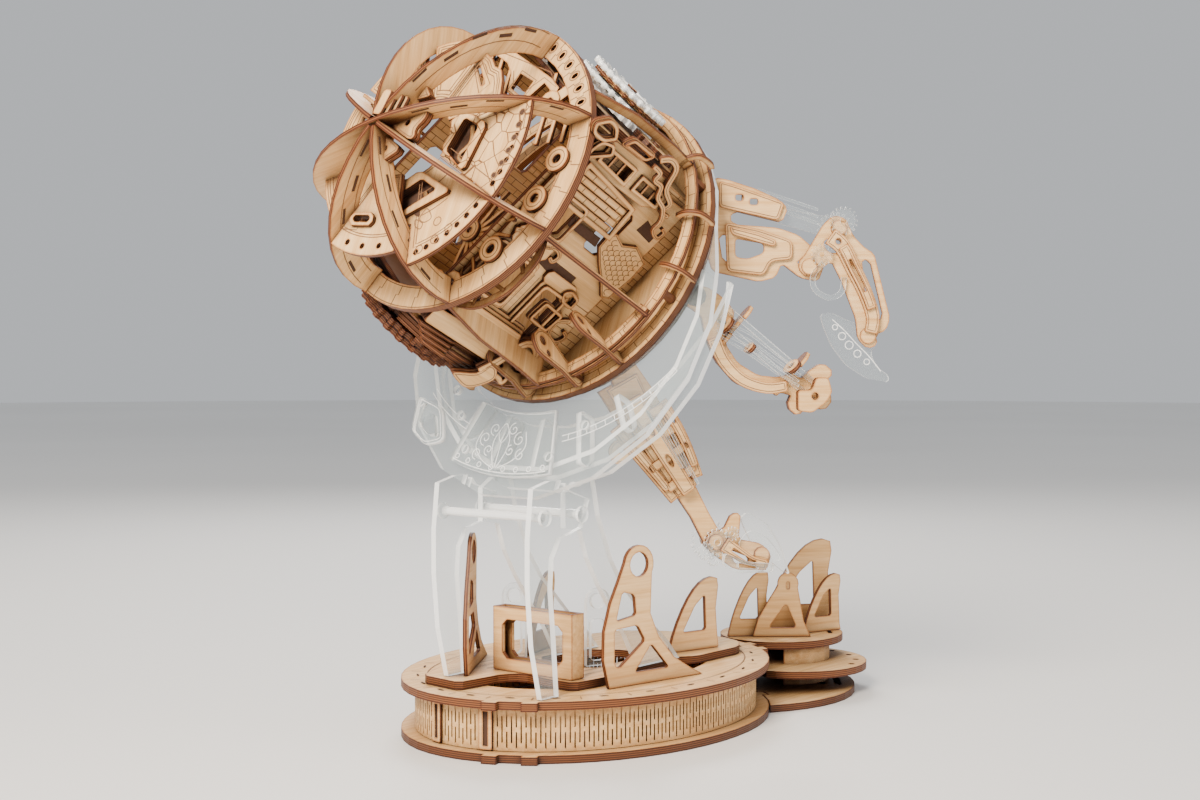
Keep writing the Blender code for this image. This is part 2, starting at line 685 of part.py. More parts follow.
def core():
    outline = box2(-CORE_Q, -CORE_N, CORE_Q, CORE_N)
    hollow = box2(-CORE_Q + PLY, -CORE_N + PLY, CORE_Q - PLY, CORE_N - PLY)
    depth = CORE_S1 - CORE_S0
    tube = plate("core_box", [outline, hollow], depth, along_core((CORE_S0 + CORE_S1) / 2))
    big = [rounded(box2(s0 * MM, q0 * MM, s1 * MM, q1 * MM), 2 * MM)
           for s0, q0, s1, q1 in ((54, 6, 80, 40), (54, -42, 80, -8), (24, -42, 46, -8), (26, 8, 46, 40))]
    for i, loop in enumerate(big):
        cut(tube, cutter("core_window_%d" % i, [loop], 3 * CORE_N, core_face(0)))
    cut(tube, rod_tool("core_bore", core_side(0), SHAFT_S, 0, -2 * CORE_Q, 2 * CORE_Q, SHAFT_R + GAP, 20))
    low, high = [edge / MM for edge in (3.5 * MM - CORE_Q, CORE_Q - 3.5 * MM)]
    facade = [rounded(mm_points([(8, low + 4), (40, low + 1), (44, -40), (83, -38), (84, 34), (72, 44),
                                 (48, high - 10), (44, high - 2), (8, high)]), 3 * MM)]
    facade += [rounded(box2(s0 * MM, q0 * MM, s1 * MM, q1 * MM), 2 * MM)
               for s0, q0, s1, q1 in ((58, 8, 76, 26), (56, -32, 78, -10), (28, -40, 42, -14),
                                      (30, 12, 42, 38))]
    face = core_face(CORE_N + GAP + PLY / 2)
    front = plate("facade_near", facade, PLY, face, "pale")
    facade_relief(front, face)
    for name, side in (("upper", 1), ("lower", -1)):
        outline = rounded(mm_points([(16, -28), (80, -28), (80, 28), (60, 40), (30, 40), (16, 28)]), 8 * MM)
        holes = [circle((SHAFT_S, 0), SHAFT_R + GAP, 20)]
        plate("gear_plate_" + name, [outline] + holes, DOUBLE,
              core_side(side * (CORE_Q + GAP + DOUBLE / 2)))


def facade_relief(front, face):
    """The second layer of the house front. The face's normal points inwards."""
    outside = -PLY * 1.5 + SEAT
    high = [(83, 45.7), (81.3, 54.8), (72.7, 59.6), (34.7, 61.5), (28.9, 58.5), (25.6, 48.6),
            (34.1, 44.2), (80.8, 42.6)]
    panes = [[(73.6, 54.4), (54.5, 54.5), (53.8, 47.9), (72.9, 49.1)],
             [(46.4, 54), (30.2, 54), (29.6, 49), (45.9, 48.6)]]
    add_layer(front, "upper_panel", [mm_points(high)] + [mm_points(pane) for pane in panes], face, outside)
    scales = [(36.1, 23.7), (32.7, 27.1), (25.1, 24.6), (17.3, 28.3), (5.9, 24.3), (5.1, 14.8), (7, 0),
              (11.4, -1.7), (20.1, 5.5), (27.8, 10.6), (35.4, 16.8)]
    add_layer(front, "scaled_plate", [mm_points(scales)], face, outside)
    for i in range(LOUVRES):
        q = 24.5 * MM + i * LOUVRE_PITCH
        board = box2(38 * MM, q, 76 * MM, q + LOUVRE_PITCH - 2 * GAP)
        add_layer(front, "louvre_%d" % i, [board], face, outside)
    for i, (s0, q0, s1, q1) in enumerate(((54, -5, 79, 5), (25, -12, 47, -5))):
        add_layer(front, "ledge_%d" % i, [rounded(box2(s0 * MM, q0 * MM, s1 * MM, q1 * MM), 2 * MM)], face,
                  outside)


def stringers():
    for name, angle in (("near", 122), ("low", 170)):
        outline = [(58 * MM, CROWN_S - GAP), (70 * MM, CROWN_S - GAP), (76 * MM, 60 * MM),
                   (78 * MM, 30 * MM), (INNER_RING_R, INNER_RING_S + PLY + GAP),
                   (66 * MM, INNER_RING_S + PLY + GAP), (62 * MM, 40 * MM)]
        plate("stringer_" + name, [outline], PLY, radial(angle))


def dome_profile(t):
    """Outer radius and height of an arch at t, from its foot 0 to the top 1."""
    angle = pi / 2 * t
    return CROWN_R * cos(angle), DOME_H * sin(angle)


def arch_half(steps=11):
    outer = [dome_profile(i / steps) for i in range(steps)] + [(0, DOME_H)]
    narrow = 1 - DOME_BAND / CROWN_R
    low = 1 - DOME_BAND / DOME_H
    return outer, [(x * narrow, y * low) for x, y in outer]


def lean_shear(points, angle):
    """The dome's axis leans, so a plate's radius and axis aren't quite square."""
    axis = BELL_AXIS * cos(DOME_LEAN) - BELL_UP * sin(DOME_LEAN)
    share = around(angle).dot(axis)
    across_share = sqrt(1 - share ** 2)
    return [(x + y * share, y * across_share) for x, y in points]


def dome():
    """Arches that cross at the top. Each one keeps a layer of the band of its own
    there, the first in the list the lowest."""
    base = CROWN_S + DOUBLE + GAP
    outer, inner = arch_half()
    rise = DOME_H - DOME_BAND
    share = DOME_BAND / len(ARCHES)
    notch = (PLY / sin(radians(45)) + PLY) / 2 + 2 * GAP
    up = [(x, y) for x, y in outer if x > notch + 1 * MM]
    down = [(x, y) for x, y in inner if x > notch + 1 * MM]
    for level, (name, angle) in enumerate(ARCHES):
        low = rise + share * level
        high = low + share
        over = [(notch, DOME_H - 0.4 * MM), (notch, high - GAP)]
        under = [(notch, low + GAP), (notch, rise)]
        if level == 0:
            under = [(notch, rise)]
        if level == len(ARCHES) - 1:
            over = [(notch, DOME_H - 0.2 * MM)]
        right = up + over
        under += down[::-1]
        loop = right + [(-x, y) for x, y in reversed(right)]
        loop += [(-x, y) for x, y in reversed(under)] + under
        plate(name, [lean_shear(loop, angle)], PLY, radial(angle, DOME_LEAN, base))


def side_angle(r):
    """The angle that half an arch and its clearance take up at radius r."""
    return degrees(asin((PLY / 2 + GAP) / r))


def petal(name, start, end, tongue=None, windows=(), radius=PETAL_R, s=PETAL_S, holes=7):
    """A sector plate that seats between two arches, its sides clear of both. Where
    it is inside them, it may run on as a tongue over a wider angle."""
    shift = -s * sin(DOME_LEAN) / cos(DOME_LEAN)
    from_angle, to_angle = tongue or (start, end)
    sides = [(radius, start + side_angle(radius), end - side_angle(radius), 8),
             (TONGUE_R, end - side_angle(TONGUE_R), to_angle - side_angle(TONGUE_R), 3),
             (PETAL_IN_R, to_angle - side_angle(PETAL_IN_R), from_angle + side_angle(PETAL_IN_R), 4),
             (TONGUE_R, from_angle + side_angle(TONGUE_R), start + side_angle(TONGUE_R), 3)]
    loop = []
    for r, first, last, steps in sides:
        if first != last:
            turns = [radians(first + (last - first) * i / steps) for i in range(steps + 1)]
            loop += [(r * cos(t) + shift, -r * sin(t)) for t in turns]
    bores = []
    for i in range(holes):
        t = radians(start + (end - start) * (i + 1) / (holes + 1))
        r = radius - 4.5 * MM
        bores.append(circle((r * cos(t) + shift, -r * sin(t)), 1.5 * MM, 6))
    cells = [rounded(mm_points(opening), 1.2 * MM) for opening, border in windows]
    place = across(CROWN_S + DOUBLE + GAP + s)
    leaf = plate(name, [loop] + bores + cells, PLY, place)
    for cell, (opening, border) in zip(cells, windows):
        add_layer(leaf, name + "_frame", [rounded(mm_points(border), 2 * MM), cell], place, PLY / 2)


def petals():
    upper = ((4.5, -27.4), (-0.7, -37.5), (-20.3, -32.9), (-11.4, -21.9))
    upper_frame = ((9.2, -23.9), (0.3, -42.2), (-23, -36.7), (-11.2, -18.6))
    lower = ((-25, -12.6), (-31, -23.7), (-41.7, -5), (-35.9, 5.3))
    lower_frame = ((-20.5, -9.6), (-32.1, -32.8), (-44.6, -6.2), (-34.5, 13.2))
    left = ((-44.5, 17), (-45.1, 6), (-48.6, 5.5), (-48, 16))
    left_frame = ((-43.2, 19), (-43.8, 4), (-50.4, 3), (-49.5, 18.5))
    petal("petal_near_upper", 75, 120, (57, 120), [(upper, upper_frame)])
    petal("petal_near_lower", 120, 165, (120, 206), [(lower, lower_frame)])
    petal("petal_left", 165, 210, None, [(left, left_frame)], 59 * MM, PETAL_S + PETAL_RISE, 3)


# Gear train

SHAFT_PLANE = core_side(0) @ Matrix.Translation((SHAFT_S, 0, 0))
GEAR_Q0 = CORE_Q + GAP + DOUBLE + GEAR_GAP


def pitch_radius(teeth):
    return MODULE * teeth / 2


def gear_train():
    low_end = GEAR_Q0 + 4 * (GEAR_T + GEAR_GAP)
    high_end = GEAR_Q0 + 3 * (GEAR_T + GEAR_GAP)
    shaft = plate("gear_shaft", [circle((0, 0), SHAFT_R, 20)], low_end + high_end,
                  layer(SHAFT_PLANE, (high_end - low_end) / 2))
    sizes = ((30, 36), (25, 31), (28, 33), (20, 27))
    for i, (teeth, radius) in enumerate(sizes):
        z = -(GEAR_Q0 + i * (GEAR_T + GEAR_GAP) + GEAR_T / 2)
        loop = gear_outline(teeth, radius * MM - TOOTH, radius * MM)
        join(shaft, cutter("low_gear_%d" % i, [loop], GEAR_T, layer(SHAFT_PLANE, z)))
    q = GEAR_Q0 + GEAR_T + GEAR_GAP + GEAR_T / 2
    join(shaft, cutter("high_gear", [gear_outline(16, 16 * MM - TOOTH, 16 * MM)], GEAR_T,
                       layer(SHAFT_PLANE, q)))
    z = GEAR_Q0 + GEAR_T / 2
    r = pitch_radius(CLEAR_TEETH)
    plate("clear_gear", [gear_outline(CLEAR_TEETH, r - TOOTH / 2, r + TOOTH / 2),
                         circle((0, 0), SHAFT_R + GAP, 20)], GEAR_T, layer(SHAFT_PLANE, z), "clear")
    r2 = pitch_radius(IDLER_TEETH)
    reach = r + r2 + BACKLASH
    spot = Vector((cos(radians(IDLER_ANGLE)), sin(radians(IDLER_ANGLE)))) * reach
    place = SHAFT_PLANE @ Matrix.Translation((spot.x, spot.y, 0))
    turn = Matrix.Rotation(idler_phase(spot), 4, "Z")
    idler = plate("idler_gear", [gear_outline(IDLER_TEETH, r2 - TOOTH / 2, r2 + TOOTH / 2)],
                  GEAR_T, layer(place, z) @ turn)
    hub0 = CORE_Q + GAP - 6 * MM
    join(idler, rod_tool("idler_pin", place, 0, 0, hub0, z + GEAR_T, PIN_R, 16))
    hole = rod_tool("idler_bore", place, 0, 0, hub0 - 1 * MM, z + GEAR_T, PIN_R + GAP, 16)
    cut(bpy.data.objects["gear_plate_upper"], hole)
    cut(bpy.data.objects["core_box"], hole)


def idler_phase(spot):
    """Turns the idler so that a gap of its teeth faces a tooth of the clear gear."""
    facing = atan2(spot.y, spot.x)
    step = 2 * pi / CLEAR_TEETH
    off = (facing / step - round(facing / step)) * 2 * pi / IDLER_TEETH
    return facing + pi + pi / IDLER_TEETH + off


# Tentacles

UPPER_S = bell_point(-16 * MM, BACK_PLATE_R - 9 * MM, 62)
LOWER_S = bell_point(-16 * MM, BACK_PLATE_R - 19 * MM, 150)
MIDDLE_S = bell_point(-16 * MM, BACK_PLATE_R - 7 * MM, 105)
UPPER_TURN = -50.0
LOWER_TURN = -38.0
MIDDLE_TURN = -42.0
SHOULDER_R = 5.0 * MM


def arm_plane(point, turn):
    a = radians(turn)
    return frame_of(point, (cos(a), sin(a), 0), (0, 0, 1))


SHOULDERS = (("upper", UPPER_S, UPPER_TURN, DOUBLE), ("lower", LOWER_S, LOWER_TURN, DOUBLE),
             ("middle", MIDDLE_S, MIDDLE_TURN, DOUBLE))


def shoulder_tools():
    """Two cheeks for each arm, from inside the back plate out to the pivot."""
    tools = []
    for name, point, turn, thick in SHOULDERS:
        place = arm_plane(point, turn)
        inward = place.inverted().to_3x3() @ BELL_AXIS
        run = Vector((inward.x, inward.y)).normalized()
        across_run = Vector((-run.y, run.x))
        root = run * (9.5 * MM / hypot(inward.x, inward.y))
        tip = ellipse((0, 0), SHOULDER_R, SHOULDER_R, 6, degrees(atan2(-run.y, -run.x)) - 90,
                      degrees(atan2(-run.y, -run.x)) + 90)
        a = root + across_run * SHOULDER_R
        b = root - across_run * SHOULDER_R
        loop = tip + [(a.x, a.y), (b.x, b.y)]
        if (Vector(tip[-1]) - a).length > (Vector(tip[-1]) - b).length:
            loop = tip + [(b.x, b.y), (a.x, a.y)]
        for side in (-1, 1):
            offset = side * (thick / 2 + GAP + PLY / 2)
            tools.append(cutter("cheek_%s_%d" % (name, side), [loop], PLY, layer(place, offset)))
    return tools


def shoulder_pin_tools():
    tools = []
    for name, point, turn, thick in SHOULDERS:
        place = arm_plane(point, turn)
        half = thick / 2 + GAP + PLY
        tools.append(rod_tool("shoulder_pin_" + name, place, 0, 0, -half - 1 * MM, half + 1 * MM, PIN_R))
    return tools


def pivot_hole(x=0.0, y=0.0):
    return circle((x, y), PIN_R + GAP, 12)


# Layers of a claw arm along its pins, from the washers on the near side to the gear
SIDE_GAP = DOUBLE / 2 + GAP
FORE_Z = SIDE_GAP + PLY / 2
FORE_FACE = SIDE_GAP + PLY
LINK_Z = -SIDE_GAP - ACRYLIC / 2
ELBOW_GEAR_Z = LINK_Z - ACRYLIC - GAP
GEAR_END = ELBOW_GEAR_Z - ACRYLIC / 2 - GAP
CLAW_Z = SIDE_GAP - GAP - ACRYLIC / 2
CLAW_END = CLAW_Z - ACRYLIC / 2 - GAP
ELBOW_TEETH = 18
ELBOW_GEAR_R = 8.0 * MM
ELBOW_U = (64.5 * MM, -12.0 * MM)
SLOT_U = (50.2 * MM, -30.7 * MM)
CLAW_U = (79.0 * MM, -64.5 * MM)


def upper_tentacle():
    place = arm_plane(UPPER_S, UPPER_TURN)
    outline = mm_points([(-5, -7), (-5, 4), (4, 13), (10, 12), (24, 7.5), (36, 2), (40, -2), (37, -9),
                         (14, -3.5), (11, -7), (14, -10), (22, -10.6), (35, -11.6), (45, -15), (52, -21),
                         (58, -30), (55, -38), (46, -36), (37, -29), (34, -36), (26, -38), (3, -33),
                         (-1, -20)])
    slot_r = hypot(SLOT_U[0] - ELBOW_U[0], SLOT_U[1] - ELBOW_U[1])
    facing = degrees(atan2(SLOT_U[1] - ELBOW_U[1], SLOT_U[0] - ELBOW_U[0]))
    slot = arc_slot(ELBOW_U, slot_r, 2 * (PIN_R + GAP), facing - 13, facing + 13, 6)
    squares = [rounded(box2(x * MM, y * MM, (x + 4.5) * MM, (y + 4.5) * MM), 0.6 * MM)
               for x, y in ((13, 1.5), (21, -1))]
    cell = rounded(mm_points([(6, -15), (30, -16), (31, -24), (26, -31), (8, -28)]), 2 * MM)
    arm = plate("upper_arm", [rounded(outline, 1.5 * MM), pivot_hole(), slot, cell] + squares,
                DOUBLE, place)
    link = rounded([(18 * MM, -2 * MM), (20 * MM, 4 * MM), (40 * MM, -2 * MM),
                    (ELBOW_U[0] + 2 * MM, ELBOW_U[1] + 5 * MM), (ELBOW_U[0] + 5 * MM, ELBOW_U[1]),
                    (ELBOW_U[0], ELBOW_U[1] - 5 * MM), (36 * MM, -9 * MM)], 2 * MM)
    link = plate("upper_link", [link, pivot_hole(*ELBOW_U)], ACRYLIC, layer(place, LINK_Z), "clear")
    fore = mm_points([(57, -10), (62, -5.5), (68, -7), (72, -16), (78, -22), (82, -24), (90, -56), (88, -62),
                      (83, -64), (84, -69), (79, -71), (74, -66), (73, -56), (66, -38), (61, -28),
                      (56, -32), (52, -36.5), (46, -34), (44.5, -29), (48, -25)])
    window = rounded(mm_points([(58, -17), (66, -18), (66, -24), (60, -24), (57, -20)]), 1.2 * MM)
    loop = rounded(mm_points([(76, -27), (80, -28), (86.5, -55), (82.5, -59), (79, -56)]), 1.5 * MM)
    forearm = plate("upper_forearm", [rounded(fore, 1.5 * MM), window, loop], PLY, layer(place, FORE_Z))
    join(forearm, *pin_tools("upper_elbow_pin", place, *ELBOW_U, FORE_FACE, GEAR_END))
    join(forearm, *pin_tools("upper_slot_pin", place, *SLOT_U, FORE_FACE, -SIDE_GAP))
    join(forearm, *pin_tools("upper_claw_pin", place, *CLAW_U, FORE_FACE, CLAW_END))
    gear = elbow_gear("upper_elbow_gear", place, ELBOW_U, ELBOW_GEAR_R)
    blade = mm_points([(76, -59), (82, -62), (84, -68), (81, -73), (84, -80), (90, -84), (90, -87.5),
                       (79, -85.5), (69, -79), (62, -70), (58, -61), (56, -54), (61, -53), (70, -57)])
    claw = plate("upper_claw", [rounded(blade, 1.2 * MM), pivot_hole(*CLAW_U)], ACRYLIC,
                 layer(place, CLAW_Z), "clear")
    shoulder = hang_on_joint("upper_shoulder", place, 0, 0, arm, link)
    elbow = hang_on_joint("upper_elbow", place, *ELBOW_U, forearm, gear)
    wrist = hang_on_joint("upper_wrist", place, *CLAW_U, claw)
    chain(shoulder, elbow, wrist)


def elbow_gear(name, place, spot, radius):
    gear = gear_outline(ELBOW_TEETH, radius - 0.8 * MM, radius + 0.8 * MM)
    gear = [(x + spot[0], y + spot[1]) for x, y in gear]
    return plate(name, [gear, pivot_hole(*spot)], ACRYLIC, layer(place, ELBOW_GEAR_Z), "clear")


def chain(*pivots):
    """Parents each joint's empty to the one before it."""
    for carrier, pivot in zip(pivots, pivots[1:]):
        pivot.parent = carrier
        pivot.matrix_parent_inverse = carrier.matrix_world.inverted()


ELBOW_L = (50.4 * MM, -91.2 * MM)
CLAW_L = (74.0 * MM, -98.0 * MM)


def lower_tentacle():
    place = arm_plane(LOWER_S, LOWER_TURN)
    run = Vector(ELBOW_L)
    length = run.length
    turn = Matrix.Rotation(atan2(run.y, run.x), 4, "Z")
    along = place @ turn
    outline = mm_points([(-5, -4), (-3, 6), (22, 9), (62, 9), (74, 5), (90, 4.5)])
    end = ellipse((length, 0), 5 * MM, 5 * MM, 8, 80, -80)
    under = mm_points([(88, -4.5), (72, -6), (60, -10), (24, -10), (4, -6)])
    ovals = [ellipse((x * MM, y * MM), 4 * MM, 2.4 * MM, 14) for x, y in ((34, 3), (50, 3))]
    slit = rounded(box2(30 * MM, -7 * MM, 58 * MM, -4 * MM), 1 * MM)
    arm = plate("lower_arm", [outline + end + under, pivot_hole(), pivot_hole(length, 0), slit] + ovals,
                DOUBLE, along)
    link = rounded([(26 * MM, 1 * MM), (28 * MM, 6.5 * MM), (60 * MM, 6 * MM), (length, 4.5 * MM),
                    (length + 4.5 * MM, 0), (length, -4.5 * MM), (60 * MM, -1 * MM)], 2 * MM)
    link = plate("lower_link", [link, pivot_hole(length, 0)], ACRYLIC, layer(along, LINK_Z), "clear")
    ex, ey = ELBOW_L[0] / MM, ELBOW_L[1] / MM
    cx, cy = CLAW_L[0] / MM, CLAW_L[1] / MM
    fore = mm_points([(ex - 3, ey - 5), (ex - 5.5, ey), (ex - 3, ey + 5), (ex + 4, ey + 6),
                      (ex + 8, ey + 14), (ex + 13, ey + 14), (ex + 12, ey + 1), (cx, cy + 5.5),
                      (cx + 5.5, cy), (cx + 3, cy - 8), (ex + 10, ey - 14)])
    window = rounded(mm_points([(ex + 7, ey - 4), (ex + 17, ey - 8), (ex + 17, ey - 11), (ex + 10, ey - 11)]),
                     1 * MM)
    forearm = plate("lower_forearm", [rounded(fore, 1.5 * MM), window], PLY, layer(place, FORE_Z))
    join(forearm, *pin_tools("lower_elbow_pin", place, *ELBOW_L, FORE_FACE, GEAR_END))
    join(forearm, *pin_tools("lower_claw_pin", place, *CLAW_L, FORE_FACE, CLAW_END))
    gear = elbow_gear("lower_elbow_gear", place, ELBOW_L, ELBOW_GEAR_R + 1 * MM)
    blade = mm_points([(cx - 5, cy - 3), (cx - 4, cy + 5), (cx - 10, cy + 18), (cx - 6, cy + 21),
                       (cx + 4, cy + 15), (cx + 11, cy + 4), (cx + 16, cy - 11), (cx + 12, cy - 9),
                       (cx + 6, cy - 4), (cx, cy - 5)])
    claw = plate("lower_claw", [rounded(blade, 1.2 * MM), pivot_hole(*CLAW_L)], ACRYLIC,
                 layer(place, CLAW_Z), "clear")
    shoulder = hang_on_joint("lower_shoulder", place, 0, 0, arm, link)
    elbow = hang_on_joint("lower_elbow", place, *ELBOW_L, forearm, gear)
    wrist = hang_on_joint("lower_wrist", place, *CLAW_L, claw)
    chain(shoulder, elbow, wrist)


STRIP_FROM = (8.0 * MM, -4.0 * MM)
STRIP_TO = (62.0 * MM, -49.0 * MM)
STRIP_SPREAD = 3.4 * MM
STRIP_W = 2.4 * MM


def middle_tentacle():
    place = arm_plane(MIDDLE_S, MIDDLE_TURN)
    run = Vector(STRIP_TO) - Vector(STRIP_FROM)
    along = place @ Matrix.Translation((*STRIP_FROM, 0)) @ Matrix.Rotation(atan2(run.y, run.x), 4, "Z")
    length = run.length
    outline = mm_points([(-5, -4), (-3, 4), (5, 5), (13, 0), (17, -4), (20, -9), (15, -15), (15, -23),
                         (21, -32), (31, -38), (41, -39), (49, -37), (60, -45), (54, -52), (46, -47),
                         (33, -46), (20, -42), (10, -31), (5, -19), (3, -9)])
    arm = plate("middle_arm", [rounded(outline, 1.5 * MM), pivot_hole()], DOUBLE, place)
    for i, (x, half_w, half_h) in enumerate(((16, 12, 5), (52, 13, 5))):
        fin = rounded(box2(-half_h * MM, -half_w * MM, half_h * MM, half_w * MM), 3 * MM)
        spot = along @ Matrix.Translation((x * MM, 0, 0)) @ Matrix.Rotation(pi / 2, 4, "Y")
        join(arm, cutter("cross_fin_%d" % i, [fin], PLY, spot))
    cross = mm_points([(57, -5), (60, -14), (68, -14), (67, -5), (76, -4), (76, 4), (67, 5), (68, 14),
                       (60, 14), (57, 5)])
    join(arm, cutter("cross_head", [rounded(cross, 2 * MM)], DOUBLE, along))
    inner = STRIP_SPREAD - STRIP_W / 2
    outer = STRIP_SPREAD + STRIP_W / 2
    start = 4 * MM
    web = 7 * MM
    loop = [(start, -outer), (length, -outer), (length, -inner), (web, -inner), (web, inner),
            (length, inner), (length, outer), (start, outer)]
    offset = SIDE_GAP + ACRYLIC / 2
    strips = plate("middle_strips", [loop], ACRYLIC, layer(along, offset), "clear")
    room = box2(start - SLOT_GAP, -outer - SLOT_GAP, length + SLOT_GAP, outer + SLOT_GAP)
    cut(arm, cutter("strip_passage", [room], ACRYLIC + 2 * SLOT_GAP, layer(along, offset)))
    hang_on_joint("middle_shoulder", place, 0, 0, arm, strips)


def build():
    base_drum()
    base_deck()
    seabed()
    fins()
    deck_furniture()
    stand()
    skirt()
    bell_frame()
    core()
    stringers()
    dome()
    petals()
    gear_train()
    upper_tentacle()
    lower_tentacle()
    middle_tentacle()
    bpy.context.view_layer.update()
    print("parts:", len(PARTS.objects))


build()
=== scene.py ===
# %% [markdown]
# # A wooden jellyfish over its seabed
#
# The object is a mechanical model, laser cut from thin birch plywood and clear acrylic
# sheet: a tilted bell full of gears and house fronts, three jointed tentacles, a clear
# skirt and stand, and a drum with fins round it. The solids come ready from the packed
# part. This lesson gives each solid its finish, adds the thin layers that stand on them,
# and sets up the light and the camera.

from math import acos, cos, degrees, hypot, pi, radians, sin, sqrt, tau

import bmesh
import bpy
from mathutils import Matrix, Vector


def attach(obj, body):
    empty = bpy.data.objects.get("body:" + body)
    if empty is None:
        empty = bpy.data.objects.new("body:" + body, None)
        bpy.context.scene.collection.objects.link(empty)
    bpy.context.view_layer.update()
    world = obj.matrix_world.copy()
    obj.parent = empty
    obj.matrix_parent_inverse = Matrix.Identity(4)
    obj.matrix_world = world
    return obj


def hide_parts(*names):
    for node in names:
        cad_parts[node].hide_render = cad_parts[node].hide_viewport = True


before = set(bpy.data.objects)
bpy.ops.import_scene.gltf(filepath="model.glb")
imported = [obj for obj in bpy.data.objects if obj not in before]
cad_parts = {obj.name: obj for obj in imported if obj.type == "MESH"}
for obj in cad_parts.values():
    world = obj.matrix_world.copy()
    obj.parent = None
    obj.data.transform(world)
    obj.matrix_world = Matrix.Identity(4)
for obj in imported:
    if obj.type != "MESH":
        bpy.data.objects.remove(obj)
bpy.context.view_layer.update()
MM = 0.001

# %% [markdown]
# ## The planes that the sheets lie in
#
# Everything here is cut from flat sheet, so each piece needs only an outline and the plane
# that it lies in. The bell leans back on its stand. Its axis, the directions round it and
# the two directions of its box-shaped core give nearly all the planes. A plane is kept as
# a matrix whose X and Y lie in the sheet and whose Z is the sheet's normal.

# %% Planes of the base
def plane(origin, x_axis, y_axis):
    x_dir = Vector(x_axis).normalized()
    z_dir = x_dir.cross(Vector(y_axis)).normalized()
    rows = Matrix((x_dir, z_dir.cross(x_dir), z_dir)).transposed().to_4x4()
    rows.translation = Vector(origin)
    return rows


def level(z):
    return Matrix.Translation((0, 0, z * MM))


def standing(x, y, turn, z=0.0):
    """An upright sheet that starts at a point of the base and runs in a plan direction."""
    a = radians(turn)
    return plane((x * MM, y * MM, z * MM), (cos(a), sin(a), 0), (0, 0, 1))


def lifted(place, offset):
    """The same plane, moved along its normal by some millimetres."""
    return place @ Matrix.Translation((0, 0, offset * MM))


print("level(2) lies at", round(level(2).translation.z / MM, 3), "mm")

# %% Planes of the bell
TILT = radians(24.0)
BELL = Vector((-27.0, 0.0, 241.0)) * MM
AXIS = Vector((-cos(TILT), 0, sin(TILT)))
UP = Vector((sin(TILT), 0, cos(TILT)))
PLY = 2.0
ACRYLIC = 3.0
CORE_ANGLE = 40.0
DOME_FOOT = 91.3
DOME_LEAN = radians(9.0)


def spoke(angle):
    """The direction out from the bell's axis, turned from its top towards the camera."""
    return UP * cos(radians(angle)) - Vector((0, 1, 0)) * sin(radians(angle))


def bell_point(s, radius, angle):
    return BELL + AXIS * s * MM + spoke(angle) * radius * MM


def ring_plane(s):
    return plane(BELL + AXIS * s * MM, UP, (0, 1, 0))


def spoke_plane(angle, s=0.0, lean=0.0):
    return plane(BELL + AXIS * s * MM, spoke(angle), AXIS * cos(lean) - UP * sin(lean))


Q_DIR = spoke(CORE_ANGLE)
N_DIR = spoke(CORE_ANGLE + 90)


def front_plane(n):
    """Along the core's front, n millimetres out. X is the bell's axis, Y runs up the core."""
    return plane(BELL + N_DIR * n * MM, AXIS, Q_DIR)


def shaft_plane(q):
    return plane(BELL + Q_DIR * q * MM, AXIS, N_DIR)


def arm_plane(point, turn):
    a = radians(turn)
    return plane(point, (cos(a), sin(a), 0), (0, 0, 1))


UPPER_ARM = arm_plane(bell_point(-16, 68, 62), -50)
LOWER_ARM = arm_plane(bell_point(-16, 58, 150), -38)
MIDDLE_ARM = arm_plane(bell_point(-16, 70, 105), -42)
print("bell axis", [round(v, 3) for v in AXIS], "core front", [round(v, 3) for v in N_DIR])

# %% [markdown]
# ## The camera, the floor and the light
#
# The photograph looks at the model from its front left, almost level and from about a
# metre away. The camera is built from that direction, that distance and one lens. The
# floor is one large pale sheet, and the light is a big soft box from the left, a weaker
# one from the right and a pale room, which is how a product is usually lit.

# %% The camera
CAMERA_TURN = radians(-51.0)
CAMERA_NOD = radians(-1.6)
CAMERA_HEIGHT = 191.6
CAMERA_AWAY = 907.0
CAMERA_SIDE = 5.0
LENS = 52.5
BASE_CENTRE = Vector((0, 13.0, 0)) * MM


def place_camera():
    back = Vector((sin(CAMERA_TURN), -cos(CAMERA_TURN), 0))
    right = Vector((cos(CAMERA_TURN), sin(CAMERA_TURN), 0))
    ahead = -back * cos(CAMERA_NOD) + Vector((0, 0, sin(CAMERA_NOD)))
    upward = back * sin(CAMERA_NOD) + Vector((0, 0, cos(CAMERA_NOD)))
    data = bpy.data.cameras.new("camera")
    data.lens = LENS
    data.sensor_width = 36.0
    data.clip_start = 0.01
    camera = bpy.data.objects.new("camera", data)
    rows = Matrix((right, upward, -ahead)).transposed().to_4x4()
    rows.translation = (BASE_CENTRE + back * CAMERA_AWAY * MM + right * CAMERA_SIDE * MM
                        + Vector((0, 0, CAMERA_HEIGHT * MM)))
    camera.matrix_world = rows
    bpy.context.scene.collection.objects.link(camera)
    bpy.context.scene.camera = camera
    return camera


camera = place_camera()
print("camera at", [round(v, 3) for v in camera.location])


# %% The light
def soft_box(name, spot, aim, size, power, colour):
    data = bpy.data.lights.new(name, "AREA")
    data.shape = "RECTANGLE"
    data.size, data.size_y = size
    data.energy = power
    data.color = colour
    lamp = bpy.data.objects.new(name, data)
    lamp.location = spot
    lamp.rotation_euler = (Vector(aim) - Vector(spot)).to_track_quat("-Z", "Y").to_euler()
    bpy.context.scene.collection.objects.link(lamp)
    return lamp


